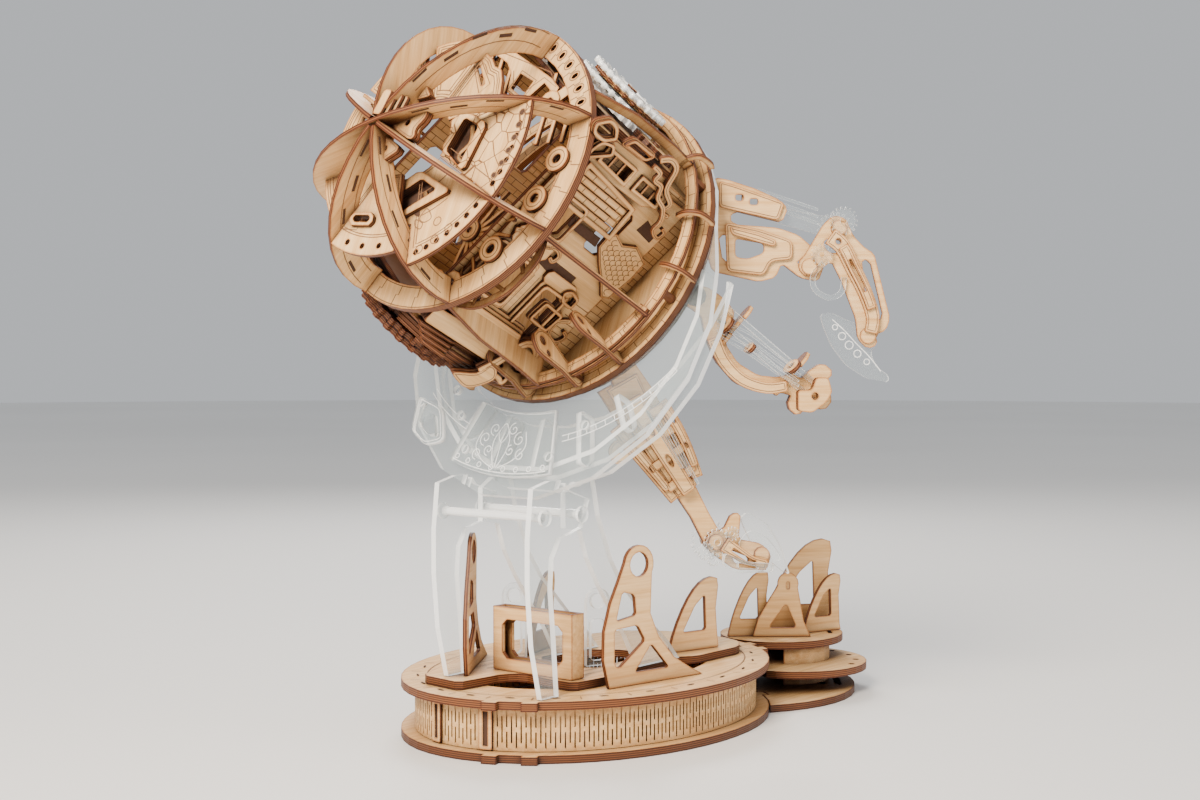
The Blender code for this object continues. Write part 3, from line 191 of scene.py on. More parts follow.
soft_box("key_light", (-1.25, -0.35, 1.05), (-0.02, 0, 0.2), (0.6, 0.6), 56.0, (1.0, 0.89, 0.76))
soft_box("fill_light", (0.45, -1.35, 0.55), (0.02, 0, 0.18), (0.9, 0.9), 6.0, (1.0, 0.93, 0.86))
soft_box("back_light", (0.75, 0.75, 0.95), (0, 0, 0.25), (0.5, 0.5), 11.0, (1.0, 0.97, 0.94))

room = bpy.data.worlds.new("room")
room.use_nodes = True
room.node_tree.nodes["Background"].inputs["Color"].default_value = (0.90, 0.93, 0.97, 1)
room.node_tree.nodes["Background"].inputs["Strength"].default_value = 0.62
bpy.context.scene.world = room

# %% [markdown]
# ## Wiring a finish
#
# Each finish is a small net of shader nodes. Adding nodes one by one is long to read, so
# one helper adds a node, sets its choices and fills its sockets in order. A socket takes
# either a number or what another node gives.

# %% Helpers that add nodes
FACE_LIMIT = 0.7


def step(net, kind, *feeds, out=0, **choices):
    """Adds a node, feeds its sockets in order and returns one of its outputs."""
    node = net.nodes.new("ShaderNode" + kind)
    for word, choice in choices.items():
        setattr(node, word, choice)
    for socket, feed in zip(node.inputs, feeds):
        if isinstance(feed, bpy.types.NodeSocket):
            net.links.new(feed, socket)
        elif feed is not None:
            socket.default_value = feed
    return node.outputs[out]


def maths(net, word, *feeds):
    """One operation on numbers, by Blender's own word for it."""
    return step(net, "Math", *feeds, operation=word)


def ramp(net, feed, *stops):
    """Turns a number into a tone, through pairs of a number and a tone."""
    node = net.nodes.new("ShaderNodeValToRGB")
    net.links.new(feed, node.inputs["Fac"])
    knots = node.color_ramp.elements
    while len(knots) < len(stops):
        knots.new(0.5)
    for knot, (spot, tone) in zip(knots, stops):
        knot.position = spot
        knot.color = (*tone, 1.0) if isinstance(tone, tuple) else (tone, tone, tone, 1.0)
    return node.outputs["Color"]


def sheet_coords(net, place):
    """Millimetres along X and Y of the sheet's own plane and along its normal."""
    where = step(net, "TexCoord", out=3)
    angles = place.to_euler()
    return step(net, "Mapping", where, tuple(place.translation), tuple(angles), (MM, MM, MM),
                vector_type="TEXTURE")


def is_face(net, place, hollow, normal=None):
    """One where the surface is the sheet's face, nought where it is its cut edge."""
    look = tuple(normal) if normal else tuple(place.to_3x3().col[2])
    here = step(net, "TexCoord", out=1)
    facing = step(net, "VectorMath", here, look, operation="DOT_PRODUCT", out=1)
    facing = maths(net, "ABSOLUTE", facing)
    return maths(net, "LESS_THAN" if hollow else "GREATER_THAN", facing, FACE_LIMIT)


def finish(name):
    """A new material, its node tree and its shader."""
    made = bpy.data.materials.new(name)
    made.use_nodes = True
    shader = made.node_tree.nodes["Principled BSDF"]
    return made, made.node_tree, shader


print("face: within", round(degrees(acos(FACE_LIMIT))), "degrees of the sheet's normal")

# %% [markdown]
# ## Birch plywood, cut by laser
#
# A sheet of birch ply has a pale face with long faint grain and an edge that the laser
# has charred dark brown, with the veneers just showing. The face and the edge differ only
# in which way they look, so one finish serves a whole plate: where the surface looks along
# the sheet's normal it is face, and elsewhere it is edge. Grain runs along the sheet's own
# X, which is why each finish is told the plane it is for.

# %% Patterns that the laser burns into a face
def stones(net, coords):
    """Irregular paving: the borders between scattered cells."""
    cells = step(net, "TexVoronoi", coords, None, 0.115, feature="DISTANCE_TO_EDGE")
    return maths(net, "LESS_THAN", cells, 0.026)


def boards(net, coords):
    """Boards laid in rows, each row shifted by half a board."""
    node = net.nodes.new("ShaderNodeTexBrick")
    net.links.new(coords, node.inputs["Vector"])
    for word, value in (("Scale", 1.0), ("Mortar Size", 0.22), ("Mortar Smooth", 0.1),
                        ("Brick Width", 11.0), ("Row Height", 3.6)):
        node.inputs[word].default_value = value
    return node.outputs["Fac"]


def ring_blocks(net, coords):
    """Blocks round a ring: the same boards, bent so that X runs round the centre."""
    split = net.nodes.new("ShaderNodeSeparateXYZ")
    net.links.new(coords, split.inputs[0])
    x, y = split.outputs["X"], split.outputs["Y"]
    turn = maths(net, "MULTIPLY", maths(net, "ARCTAN2", y, x), 76.0)
    square = maths(net, "ADD", maths(net, "POWER", x, 2.0), maths(net, "POWER", y, 2.0))
    out = maths(net, "SQRT", square)
    bent = step(net, "CombineXYZ", turn, out)
    return boards(net, bent)


print("burnt patterns: stones, boards, ring blocks")

# %% [markdown]
# The grain is noise that is drawn out twenty to thirty times longer along the sheet than
# across it, and mixed once more with slow noise for the uneven tone of a veneer. The char is
# banded by the distance from the sheet's middle plane: dark, with a lighter line at the
# middle and along both faces. Bump follows the same noise as the grain, but only just.
#
# The deep corners of the bell, where sheets stand close together, get painted shade: a dark
# brown that stands for the shade falling there. How much of a point's view is blocked within
# twenty millimetres tells where such corners are, and darkens them. Clear pieces would count
# as blocking too, so this is left off on the tentacles, where they lie over the wood.
#
# The laser's heat also browns the last millimetre of a face beside its edge. The same
# measure, taken inwards through the sheet, tells how near the edge is. The slotted wall goes
# without it, because its strips are narrower than that border.

# %% The plywood finish
FACE_DARK = (0.45, 0.215, 0.072)
FACE_MID = (0.68, 0.395, 0.155)
FACE_PALE = (0.86, 0.585, 0.290)
CHAR_DARK = (0.085, 0.025, 0.008)
CHAR_LIGHT = (0.40, 0.145, 0.042)
BURNT_LINE = (0.20, 0.090, 0.035)
# Painted shade in the deep corners: how far to look for nearby wood, and the darkest tone.
CORNER_SHADE_REACH = 0.020
CORNER_SHADE_TONE = (0.08, 0.034, 0.016)
SCORCH_REACH = 0.0010
SCORCH_TONE = (0.50, 0.27, 0.14)
CLEAN = (1.0, 1.0, 1.0)
VENEER = 1.0
plywoods = {}


def veneer(net, coords, shade):
    """The tone of a face, and the grain that its bump and its gloss follow."""
    long_grain = step(net, "VectorMath", coords, (0.018, 0.42, 0.42), operation="MULTIPLY")
    streaks = step(net, "TexNoise", long_grain, None, 1.0, 5.0, 0.6)
    fine_grain = step(net, "VectorMath", coords, (0.10, 3.2, 3.2), operation="MULTIPLY")
    pores = step(net, "TexNoise", fine_grain, None, 1.0, 2.0, 0.5)
    patches = step(net, "TexNoise", coords, None, 0.02, 2.0, 0.5)
    faint = maths(net, "ADD", maths(net, "MULTIPLY", pores, 0.22),
                  maths(net, "MULTIPLY", patches, 0.23))
    blend = maths(net, "ADD", maths(net, "MULTIPLY", streaks, 0.55), faint)
    tone = ramp(net, blend, (0.28 + shade, FACE_DARK), (0.46 + shade, FACE_MID),
                (0.66 + shade, FACE_PALE))
    return tone, blend


def char(net, depth):
    """The tone of a cut edge, banded by the depth in millimetres below the middle plane."""
    wave = maths(net, "SINE", maths(net, "MULTIPLY", depth, pi / VENEER))
    bands = maths(net, "ABSOLUTE", wave)
    return ramp(net, bands, (0.05, CHAR_LIGHT), (0.55, CHAR_DARK))


def darkened(net, tone, reach, knots, **choices):
    """Darkens a tone where much lies within reach of the point."""
    shelter = step(net, "AmbientOcclusion", None, reach, out=1, samples=6, **choices)
    return step(net, "MixRGB", 1.0, tone, ramp(net, shelter, *knots), blend_type="MULTIPLY")


def plywood(place, pattern=None, shade=0.0, hollow=False, normal=None, shade_corners=True, scorched=True):
    """The finish of one sheet. A hollow piece is a tube or band of sheet whose edges look
    along the normal and whose faces look out to the sides."""
    look = Vector(normal) if normal else place.to_3x3().col[2]
    key = (tuple(round(v, 5) for row in place for v in row), getattr(pattern, "__name__", ""),
           shade, hollow, shade_corners, scorched, tuple(round(v, 4) for v in look))
    if key in plywoods:
        return plywoods[key]
    made, net, shader = finish("birch_%02d" % len(plywoods))
    coords = sheet_coords(net, place)
    tone, relief = veneer(net, coords, shade)
    split = net.nodes.new("ShaderNodeSeparateXYZ")
    net.links.new(coords, split.inputs[0])
    edge = char(net, split.outputs["Z"])
    if pattern:
        burnt = pattern(net, coords)
        tone = step(net, "MixRGB", burnt, tone, (*BURNT_LINE, 1))
    tone = step(net, "MixRGB", is_face(net, place, hollow, normal), edge, tone)
    if scorched:
        knots = ((0.50, SCORCH_TONE), (0.93, CLEAN))
        tone = darkened(net, tone, SCORCH_REACH, knots, inside=True, only_local=True)
    # Painted shade: darkens the deep corners, where much wood lies near.
    if shade_corners:
        tone = darkened(net, tone, CORNER_SHADE_REACH, ((0.20, CORNER_SHADE_TONE), (0.78, CLEAN)))
    net.links.new(tone, shader.inputs["Base Color"])
    dull = ramp(net, relief, (0.3, 0.62), (0.7, 0.48))
    net.links.new(dull, shader.inputs["Roughness"])
    shader.inputs["Specular IOR Level"].default_value = 0.32
    bump = net.nodes.new("ShaderNodeBump")
    bump.inputs["Strength"].default_value = 0.25
    bump.inputs["Distance"].default_value = 0.12 * MM
    net.links.new(relief, bump.inputs["Height"])
    net.links.new(bump.outputs[0], shader.inputs["Normal"])
    plywoods[key] = made
    return made


print("first plywood finish:", plywood(level(0)).name)

# %% [markdown]
# ## Clear acrylic, cut by laser
#
# Real acrylic bends the light, but here dozens of thin clear layers lie behind each other,
# and what the eye reads is a faint grey face with a bright edge where the light comes out.
# A see-through face and a whiter, denser edge, whose white is a painted highlight, give that
# look in any view, so the finish fades instead of refracting.

# %% The acrylic finish
ACRYLIC_FACE = (0.58, 0.68, 0.70)
# Painted highlight: the edge is white where the light comes out of it.
ACRYLIC_EDGE_HIGHLIGHT = (0.97, 0.99, 1.0)
ACRYLIC_CLOUD = (0.80, 0.87, 0.86)
EDGE_ALPHA = 0.82
FACE_ALPHA = 0.06
RIM_ALPHA = 0.25
acrylics = {}


def acrylic(place, hollow=False):
    """A clear sheet: faint on its face, a little denser where seen flat, and white at its edge as a
    painted highlight.
    """
    look = place.to_3x3().col[2]
    key = (hollow, tuple(round(v, 4) for v in look))
    if key in acrylics:
        return acrylics[key]
    made, net, shader = finish("acrylic_%02d" % len(acrylics))
    coords = sheet_coords(net, place)
    on_face = is_face(net, place, hollow)
    cloud = step(net, "TexNoise", coords, None, 0.05, 2.0, 0.5)
    tone = step(net, "MixRGB", on_face, (*ACRYLIC_EDGE_HIGHLIGHT, 1), (*ACRYLIC_FACE, 1))
    tone = step(net, "MixRGB", maths(net, "MULTIPLY", cloud, 0.2), tone, (*ACRYLIC_CLOUD, 1))
    net.links.new(tone, shader.inputs["Base Color"])
    wear = step(net, "TexNoise", coords, None, 1.4, 3.0, 0.6)
    net.links.new(ramp(net, wear, (0.35, 0.06), (0.75, 0.2)), shader.inputs["Roughness"])
    rim = step(net, "LayerWeight", 0.3, out=1)
    thin = maths(net, "ADD", maths(net, "MULTIPLY", rim, RIM_ALPHA), FACE_ALPHA)
    body = step(net, "MixRGB", on_face, (EDGE_ALPHA, EDGE_ALPHA, EDGE_ALPHA, 1), thin)
    net.links.new(body, shader.inputs["Alpha"])
    shader.inputs["Specular IOR Level"].default_value = 0.6
    made.surface_render_method = "BLENDED"
    acrylics[key] = made
    return made


def line_finish(name, colour, rough):
    """The finish of an engraved line: a colour that wavers a little along its way."""
    made, net, shader = finish(name)
    where = step(net, "TexCoord", out=3)
    waver = step(net, "TexNoise", where, None, 900.0, 2.0, 0.5)
    dim = tuple(0.72 * c for c in colour)
    net.links.new(ramp(net, waver, (0.3, dim), (0.7, colour)), shader.inputs["Base Color"])
    shader.inputs["Roughness"].default_value = rough
    return made


BURN = line_finish("burnt_line", (0.24, 0.115, 0.05), 0.8)
# Painted shade: the near-black of holes and openings, whose insides lie in shade.
HOLE_SHADE = line_finish("painted_hole_shade", (0.07, 0.03, 0.015), 0.85)
FROST = line_finish("frosted_line", (0.93, 0.96, 0.97), 0.55)
print("acrylic and line finishes ready:", acrylic(level(0)).name, BURN.name, FROST.name)

# %% [markdown]
# ## Every solid gets its own sheet's finish
#
# A solid keeps the shape that it was packed with. What it needs here is the plane it was
# cut in, because the grain, the char and the burnt lines follow that plane.

# %% Dress one solid
def dress(made, *names):
    for name in names:
        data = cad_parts[name].data
        if not data.materials:
            data.materials.append(made)
        for slot in range(len(data.materials)):
            data.materials[slot] = made


dress(plywood(level(2)), "base_bottom_plate", "seabed_low_plate")
dress(plywood(level(14.3)), "seabed_middle_plate")
dress(plywood(level(27)), "base_top_ring", "seabed_top_plate")
dress(plywood(level(31.3)), "deck_platform")
dress(plywood(level(14.5), hollow=True), "base_wall", "seabed_post")
DECK_TOP = 33.6
dress(plywood(standing(-61, 0, 90, DECK_TOP), normal=(0, 0, 1), hollow=True), "window_frame")
print("finishes so far:", len(plywoods))

# %% [markdown]
# A fin stands upright and may face any way, so its plane is told by a point, a direction in
# plan and the height it stands at. Then its grain runs along the fin, as it was cut.

# %% Fins on the deck and the seabed
RING_TOP = 29.3
SEABED_TOP = (149.0, -8.0)
dress(plywood(standing(30, -15, -14, DECK_TOP), shade=-0.05), "shark_fin_near")
dress(plywood(standing(-22, 38, 16, DECK_TOP)), "shark_fin_far")
dress(plywood(standing(-52, -37, -10, RING_TOP), shade=-0.03), "ring_fin_near")
dress(plywood(standing(-87, 20.5, 34, DECK_TOP)), "ring_fin_far")
CORALS = (("coral_fin_left", -33, 15, -42), ("coral_fin_back", 4, 16, -42),
          ("coral_fin_right", 4, -12, -20), ("coral_fin_round", -24.5, 3.5, -50))
for name, x, y, turn in CORALS:
    dress(plywood(standing(SEABED_TOP[0] + x, SEABED_TOP[1] + y, turn, RING_TOP)), name)
print("with the fins:", len(plywoods))

# %% [markdown]
# The stand's legs are clear plates that stand side by side, the two hooks on the deck face
# another way, and the skirt lies across the bell's axis like the rings.

# %% The clear stand, hooks and skirt
dress(acrylic(standing(0, 0, 0)), "front_leg_near", "front_leg_far", "rear_leg_near",
      "rear_leg_far", "leg_pin_front", "leg_pin_rear")
dress(acrylic(standing(0, 0, -25)), "clear_hook_near", "clear_hook_far")
dress(acrylic(ring_plane(-2)), "skirt_front_plate", "skirt_back_plate")
dress(acrylic(ring_plane(-9), hollow=True), "skirt_wall")
print("acrylic finishes:", len(acrylics))

# %% [markdown]
# The rings of the bell lie across its axis, and the two at the rim are engraved with blocks.
# The plates of the core stand along it. The dome's arches are cut in planes through it.

# %% The bell's rings, core and gears
PETAL_S = 119.0
dress(plywood(ring_plane(2), ring_blocks), "rim_ring")
dress(plywood(ring_plane(13), ring_blocks), "inner_rim_ring")
dress(plywood(ring_plane(-5.6)), "back_plate")
dress(plywood(ring_plane(89), shade=-0.03), "crown_ring")
dress(plywood(front_plane(41), boards, normal=AXIS, hollow=True), "core_box")
dress(plywood(front_plane(43.3), shade=-0.04), "facade_near")
dress(plywood(shaft_plane(61.8)), "gear_plate_upper")
dress(plywood(shaft_plane(-61.8)), "gear_plate_lower")
dress(plywood(shaft_plane(0)), "gear_shaft", "idler_gear")
dress(acrylic(shaft_plane(0)), "clear_gear")
dress(plywood(spoke_plane(122)), "stringer_near")
dress(plywood(spoke_plane(170)), "stringer_low")
for name, angle in (("dome_arch_a", 75), ("dome_arch_b", 120), ("dome_arch_c", 165),
                    ("dome_rib_far", 210)):
    dress(plywood(spoke_plane(angle, DOME_FOOT, DOME_LEAN)), name)
dress(plywood(ring_plane(PETAL_S), stones, shade=-0.04), "petal_near_upper")
dress(plywood(ring_plane(PETAL_S), shade=-0.04), "petal_near_lower")
dress(plywood(ring_plane(125), shade=-0.04), "petal_left")
print("with the bell:", len(plywoods))

# %% [markdown]
# Each tentacle turns in one upright plane of its own. All its segments share that plane's
# finish, ply or clear.

# %% The tentacles
dress(plywood(UPPER_ARM, shade=-0.03, shade_corners=False), "upper_arm", "upper_forearm")
dress(plywood(LOWER_ARM, shade=-0.03, shade_corners=False), "lower_arm", "lower_forearm")
dress(plywood(MIDDLE_ARM, shade_corners=False), "middle_arm")
dress(acrylic(UPPER_ARM), "upper_link", "upper_elbow_gear", "upper_claw")
dress(acrylic(LOWER_ARM), "lower_link", "lower_elbow_gear", "lower_claw")
dress(acrylic(MIDDLE_ARM), "middle_strips")
print("plywood finishes:", len(plywoods), "acrylic finishes:", len(acrylics))

# %% [markdown]
# ## Cutting a new sheet
#
# The thin layers that are added here are cut the way the laser cuts them: a flat outline
# with holes becomes a filled curve, the curve gets its thickness, and the result is kept
# as a mesh. A curve does this in one go, while a face and an extrude would need the holes
# bridged by hand. Each sheet then rides on the body that carries it.

# %% Outlines
def polar(radius, angle, x=0.0, y=0.0):
    """A point at a distance and a turn from a centre."""
    return x + radius * cos(radians(angle)), y + radius * sin(radians(angle))


def oval(x, y, a, b=None, steps=20, start=0.0, end=360.0, turn=0.0):
    """Points of an oval, or of part of one, in millimetres."""
    b = a if b is None else b
    whole = end - start >= 360.0
    out = []
    for i in range(steps if whole else steps + 1):
        t = radians(start + (end - start) * i / steps)
        u, v = a * cos(t), b * sin(t)
        c, k = cos(radians(turn)), sin(radians(turn))
        out.append((x + u * c - v * k, y + u * k + v * c))
    return out


def box(x0, y0, x1, y1):
    return [(x0, y0), (x1, y0), (x1, y1), (x0, y1)]


def softened(points, radius, steps=3):
    """The same outline with each corner rounded off."""
    out = []
    for i, here in enumerate(points):
        p = Vector(here)
        before = Vector(points[i - 1]) - p
        after = Vector(points[(i + 1) % len(points)]) - p
        reach = min(radius, before.length * 0.45, after.length * 0.45)
        a, b = p + before.normalized() * reach, p + after.normalized() * reach
        for k in range(steps + 1):
            t = k / steps
            q = a * (1 - t) ** 2 + p * 2 * t * (1 - t) + b * t ** 2
            out.append((q.x, q.y))
    return out


def bent_strip(x, y, radius, width, start, end, steps=16):
    """Part of a flat ring."""
    outer = oval(x, y, radius + width / 2, steps=steps, start=start, end=end)
    inner = oval(x, y, radius - width / 2, steps=steps, start=start, end=end)
    return outer + inner[::-1]


def cog(x, y, teeth, root, tip):
    """A toothed wheel, each tooth with a flat tip and sloping sides."""
    out = []
    for i in range(teeth):
        for share, r in ((-0.27, root), (-0.15, tip), (0.15, tip), (0.27, root)):
            t = tau * (i + share) / teeth
            out.append((x + r * cos(t), y + r * sin(t)))
    return out


print("a cog of ten teeth has", len(cog(0, 0, 10, 4, 5)), "points")


def sheet(name, loops, place, made, body="frame", thick=PLY):
    """Cuts one sheet, puts it in its plane and lets it ride on its body."""
    curve = bpy.data.curves.new(name, "CURVE")
    curve.dimensions = "2D"
    curve.fill_mode = "BOTH"
    curve.extrude = thick * MM / 2
    for loop in loops:
        spline = curve.splines.new("POLY")
        spline.points.add(len(loop) - 1)
        for point, (x, y) in zip(spline.points, loop):
            point.co = (x * MM, y * MM, 0, 1)
        spline.use_cyclic_u = True
    pattern = bpy.data.objects.new(name + "_outline", curve)
    bpy.context.scene.collection.objects.link(pattern)
    settled = pattern.evaluated_get(bpy.context.evaluated_depsgraph_get())
    cut = bpy.data.meshes.new_from_object(settled)
    bpy.data.objects.remove(pattern, do_unlink=True)
    work = bmesh.new()
    work.from_mesh(cut)
    bmesh.ops.remove_doubles(work, verts=work.verts, dist=1e-6)
    bmesh.ops.recalc_face_normals(work, faces=work.faces)
    bmesh.ops.transform(work, matrix=place, verts=work.verts)
    work.to_mesh(cut)
    work.free()
    cut.materials.clear()
    cut.materials.append(made)
    piece = bpy.data.objects.new(name, cut)
    bpy.context.scene.collection.objects.link(piece)
    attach(piece, body)
    return piece


def birch(name, loops, place, body="frame", thick=PLY, pattern=None, shade=0.0):
    made = plywood(place, pattern, shade, shade_corners=body == "frame")
    return sheet(name, loops, place, made, body, thick)


def clear(name, loops, place, body="frame", thick=ACRYLIC):
    return sheet(name, loops, place, acrylic(place), body, thick)


def dark_spot(name, outline, place, thick=0.05):
    """A thin black sheet of painted shade, which reads as a hole where there is none."""
    return sheet(name, [outline], place, HOLE_SHADE, thick=thick)


print("sheet cutter ready")

# %% [markdown]
# Scrolls, clips and curved ribs are strips that follow a flowing line. A smooth line is
# passed through a few points, and the strip's two sides are drawn at half its width to
# either side. A contour that runs parallel to an outline is drawn in from it by a few
# millimetres, which is also how the holes of window frames are made.

# %% Flowing strips and parallel contours
def smooth(points, steps=4, whole=False):
    """A flowing line through some points. A whole one comes back to its first point."""
    points = [Vector(p) for p in points]
    count = len(points)
    out = []
    for i in range(count if whole else count - 1):
        before = points[i - 1] if i or whole else points[0]
        here, after = points[i], points[(i + 1) % count]
        beyond = points[(i + 2) % count] if whole or i + 2 < count else points[-1]
        for k in range(steps):
            t = k / steps
            squared = (before * 2 - here * 5 + after * 4 - beyond) * t * t
            cubed = (here * 3 - before - after * 3 + beyond) * t ** 3
            q = (here * 2 + (after - before) * t + squared + cubed) * 0.5
            out.append((q.x, q.y))
    return out if whole else out + [tuple(points[-1])]


def band(points, width, tip=None):
    """The outline of a strip along a line. It may grow or taper towards its tip."""
    tip = width if tip is None else tip
    last = len(points) - 1
    left, right = [], []
    for i, here in enumerate(points):
        run = Vector(points[min(i + 1, last)]) - Vector(points[max(i - 1, 0)])
        out = Vector((-run.y, run.x)).normalized() * (width + (tip - width) * i / last) / 2
        left.append(tuple(Vector(here) + out))
        right.append(tuple(Vector(here) - out))
    return left + right[::-1]


def drawn_in(points, distance):
    """A contour that runs inside an outline, some millimetres from it."""
    area = sum(a[0] * b[1] - b[0] * a[1] for a, b in zip(points, points[1:] + points[:1]))
    hand = distance if area > 0 else -distance
    out = []
    for i, here in enumerate(points):
        into = (Vector(here) - Vector(points[i - 1])).normalized()
        onward = (Vector(points[(i + 1) % len(points)]) - Vector(here)).normalized()
        side = Vector((-into.y - onward.y, into.x + onward.x)).normalized()
        lean = max(0.5, side.dot(Vector((-into.y, into.x))))
        out.append(tuple(Vector(here) + side * hand / lean))
    return out


def closed(points):
    """The same points with the first one again at the end, as an engraved line needs."""
    return list(points) + [points[0]]


def fan_arc(radius, start, end, steps=14):
    """Part of a circle round the bell's axis, in a ring plane, by the bell's own angles."""
    turns = (radians(start + (end - start) * i / steps) for i in range(steps + 1))
    return [(radius * cos(t), -radius * sin(t)) for t in turns]


def wedge(start, end, inner, outer, gap=1.4):
    """The room between two arches: part of a ring, clear of the arches on both sides."""
    far, near = degrees(gap / outer), degrees(gap / inner)
    inside = fan_arc(inner, start + near, end - near, 5)
    return fan_arc(outer, start + far, end - far, 10) + inside[::-1]


def at(radius, angle):
    """A point of a ring plane by radius and by the bell's own angle."""
    return radius * cos(radians(angle)), -radius * sin(radians(angle))


print("a test strip has", len(band(smooth([(0, 0), (4, 3), (9, 2)]), 2.0)), "points")

# %% [markdown]
# An engraved line is a shallow groove with a burnt bottom, about half a millimetre wide.
# At arm's length it reads as a brown line. It is laid on as a ribbon that stands about a
# tenth of a millimetre off the face: a groove cut by Boolean would cost far more faces and
# look the same.

# %% Engraved lines
LINE = 0.42
LINE_LIFT = 0.06


def engrave(name, strokes, place, body="frame", ink=BURN, width=LINE):
    """Lays flat ribbons along some lines. Each stroke is a list of points in mm, and one
    that ends where it began is closed."""
    work = bmesh.new()
    for stroke in strokes:
        points = [Vector(p) for p in stroke]
        loops_back = (points[0] - points[-1]).length < 1e-6
        count = len(points)
        rails = []
        for i, here in enumerate(points):
            before = points[i - 1] if i else (points[-2] if loops_back else here)
            after = points[i + 1] if i < count - 1 else (points[1] if loops_back else here)
            run = (after - before).normalized()
            out = Vector((-run.y, run.x)) * width / 2
            sides = (here + out, here - out)
            rails.append([work.verts.new((p.x * MM, p.y * MM, 0)) for p in sides])
        for a, b in zip(rails, rails[1:]):
            work.faces.new((a[0], a[1], b[1], b[0]))
    bmesh.ops.transform(work, matrix=place, verts=work.verts)
    data = bpy.data.meshes.new(name)
    work.to_mesh(data)
    work.free()
    data.materials.append(ink)
    lines = bpy.data.objects.new(name, data)
    bpy.context.scene.collection.objects.link(lines)
    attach(lines, body)
    return lines


def round_line(x, y, a, b=None, steps=24, start=0.0, end=360.0, turn=0.0):
    points = oval(x, y, a, b, steps, start, end, turn)
    return points + points[:1] if end - start >= 360.0 else points


def curl(x, y, size, turns=1.4, start=0.0, hand=1, steps=26):
    """A spiral that winds in to its middle."""
    out = []
    for i in range(steps + 1):
        t = i / steps
        a = radians(start) + hand * tau * turns * t
        r = size * (1 - 0.86 * t)
        out.append((x + r * cos(a), y + r * sin(a)))
    return out


print("line width", LINE, "mm")

# %% [markdown]
# ## The slotted wall of the drum
#
# A flat strip of ply can't be bent round a tight curve, so the maker cuts hundreds of
# short slots in it, in rows that are shifted by half a step: it then bends like a hinge.
# The strip is cut flat, slots and all, and rolled round the drum afterwards, the way the
# real one is. It replaces the plain wall.

# %% Cut the wall flat and roll it
WALL_A = 103.0
WALL_B = 77.0
WALL_LOW, WALL_HIGH = 4.3, 24.7
WALL_MIDDLE = 14.5
OUTER_SLOTS = ((WALL_LOW + 1.0, 13.4), (15.6, WALL_HIGH - 1.0))
MIDDLE_SLOT = (8.2, 20.8)
SLOT_PITCH = 2.3
SLOT_W = 0.7
WALL_SHIFT_Y = 13.0


def wall_stations(count=720):
    """Where each millimetre of the strip ends up, as length along it against turn."""
    length, stations = 0.0, [(0.0, 0.0)]
    last = Vector((WALL_A, 0))
    for i in range(1, count + 1):
        t = tau * i / count
        here = Vector((WALL_A * cos(t), WALL_B * sin(t)))
        length += (here - last).length
        stations.append((length, t))
        last = here
    return stations


def rolled(stations, x):
    """The turn round the drum at a length along the strip."""
    low, high = 0, len(stations) - 1
    while high - low > 1:
        middle = (low + high) // 2
        low, high = (middle, high) if stations[middle][0] <= x else (low, middle)
    (x0, t0), (x1, t1) = stations[low], stations[high]
    return t0 + (t1 - t0) * (x - x0) / (x1 - x0)


def slotted_wall():
    """Two shells of strips and bridges, joined along every open edge."""
    stations = wall_stations()
    around_it = stations[-1][0]
    count = int(around_it / SLOT_PITCH)
    pitch = around_it / count
    work = bmesh.new()
    for shell in (0.0, -PLY):
        made = {}

        def corner(x, z):
            key = (round(x, 4), round(z, 4))
            if key not in made:
                t = rolled(stations, min(max(x, 0.0), around_it))
                x_out, y_out = (WALL_A + shell) * cos(t), (WALL_B + shell) * sin(t)
                made[key] = work.verts.new((x_out * MM, (y_out + WALL_SHIFT_Y) * MM, z * MM))
            return made[key]

        levels = sorted({WALL_LOW, WALL_HIGH, *OUTER_SLOTS[0], *OUTER_SLOTS[1], *MIDDLE_SLOT})
        for i in range(count):
            gaps = [MIDDLE_SLOT] if i % 2 else OUTER_SLOTS
            x0, x1 = i * pitch, i * pitch + SLOT_W
            x2 = (i + 1) * pitch
            for z0, z1 in zip(levels, levels[1:]):
                open_here = any(g0 <= z0 and z1 <= g1 for g0, g1 in gaps)
                spans = [(x1, x2)] if open_here else [(x0, x1), (x1, x2)]
                for a, b in spans:
                    face = [corner(a, z0), corner(b, z0), corner(b, z1), corner(a, z1)]
                    work.faces.new(face if shell == 0.0 else face[::-1])
    bmesh.ops.remove_doubles(work, verts=work.verts, dist=1e-6)
    work.verts.ensure_lookup_table()
    work.verts.index_update()
    verts = list(work.verts)
    half = len(verts) // 2
    open_edges = [e for e in work.edges if len(e.link_faces) == 1]
    outside = [e for e in open_edges if e.verts[0].index < half and e.verts[1].index < half]
    for e in outside:
        a, b = e.verts
        work.faces.new((a, b, verts[b.index + half], verts[a.index + half]))
    bmesh.ops.recalc_face_normals(work, faces=work.faces)
    data = bpy.data.meshes.new("slotted_wall")
    work.to_mesh(data)
    work.free()
    data.materials.append(plywood(level(WALL_MIDDLE), hollow=True, scorched=False))
    wall = bpy.data.objects.new("slotted_wall", data)
    bpy.context.scene.collection.objects.link(wall)
    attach(wall, "frame")
    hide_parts("base_wall")
    return wall, count


wall, slot_count = slotted_wall()
print("wall slots:", slot_count, "faces:", len(wall.data.polygons))

# %% [markdown]
# ## The dome: petals between the arches
#
# On the real bell, thin plates fill the rooms between the arches, each at its own height,
# cut with slots and engraved with lines that follow their edges. The three nearest petals
# are solids already. The others are wedges of a ring, cut clear of the arches by a small
# gap, which keeps every edge parallel to the arch that it stands beside.

# %% More petals
PETAL_FACE = PETAL_S + 1.1


def contours(outline, *distances):
    """Closed lines that follow an outline at some distances inside it."""
    return [closed(drawn_in(outline, d)) for d in distances]


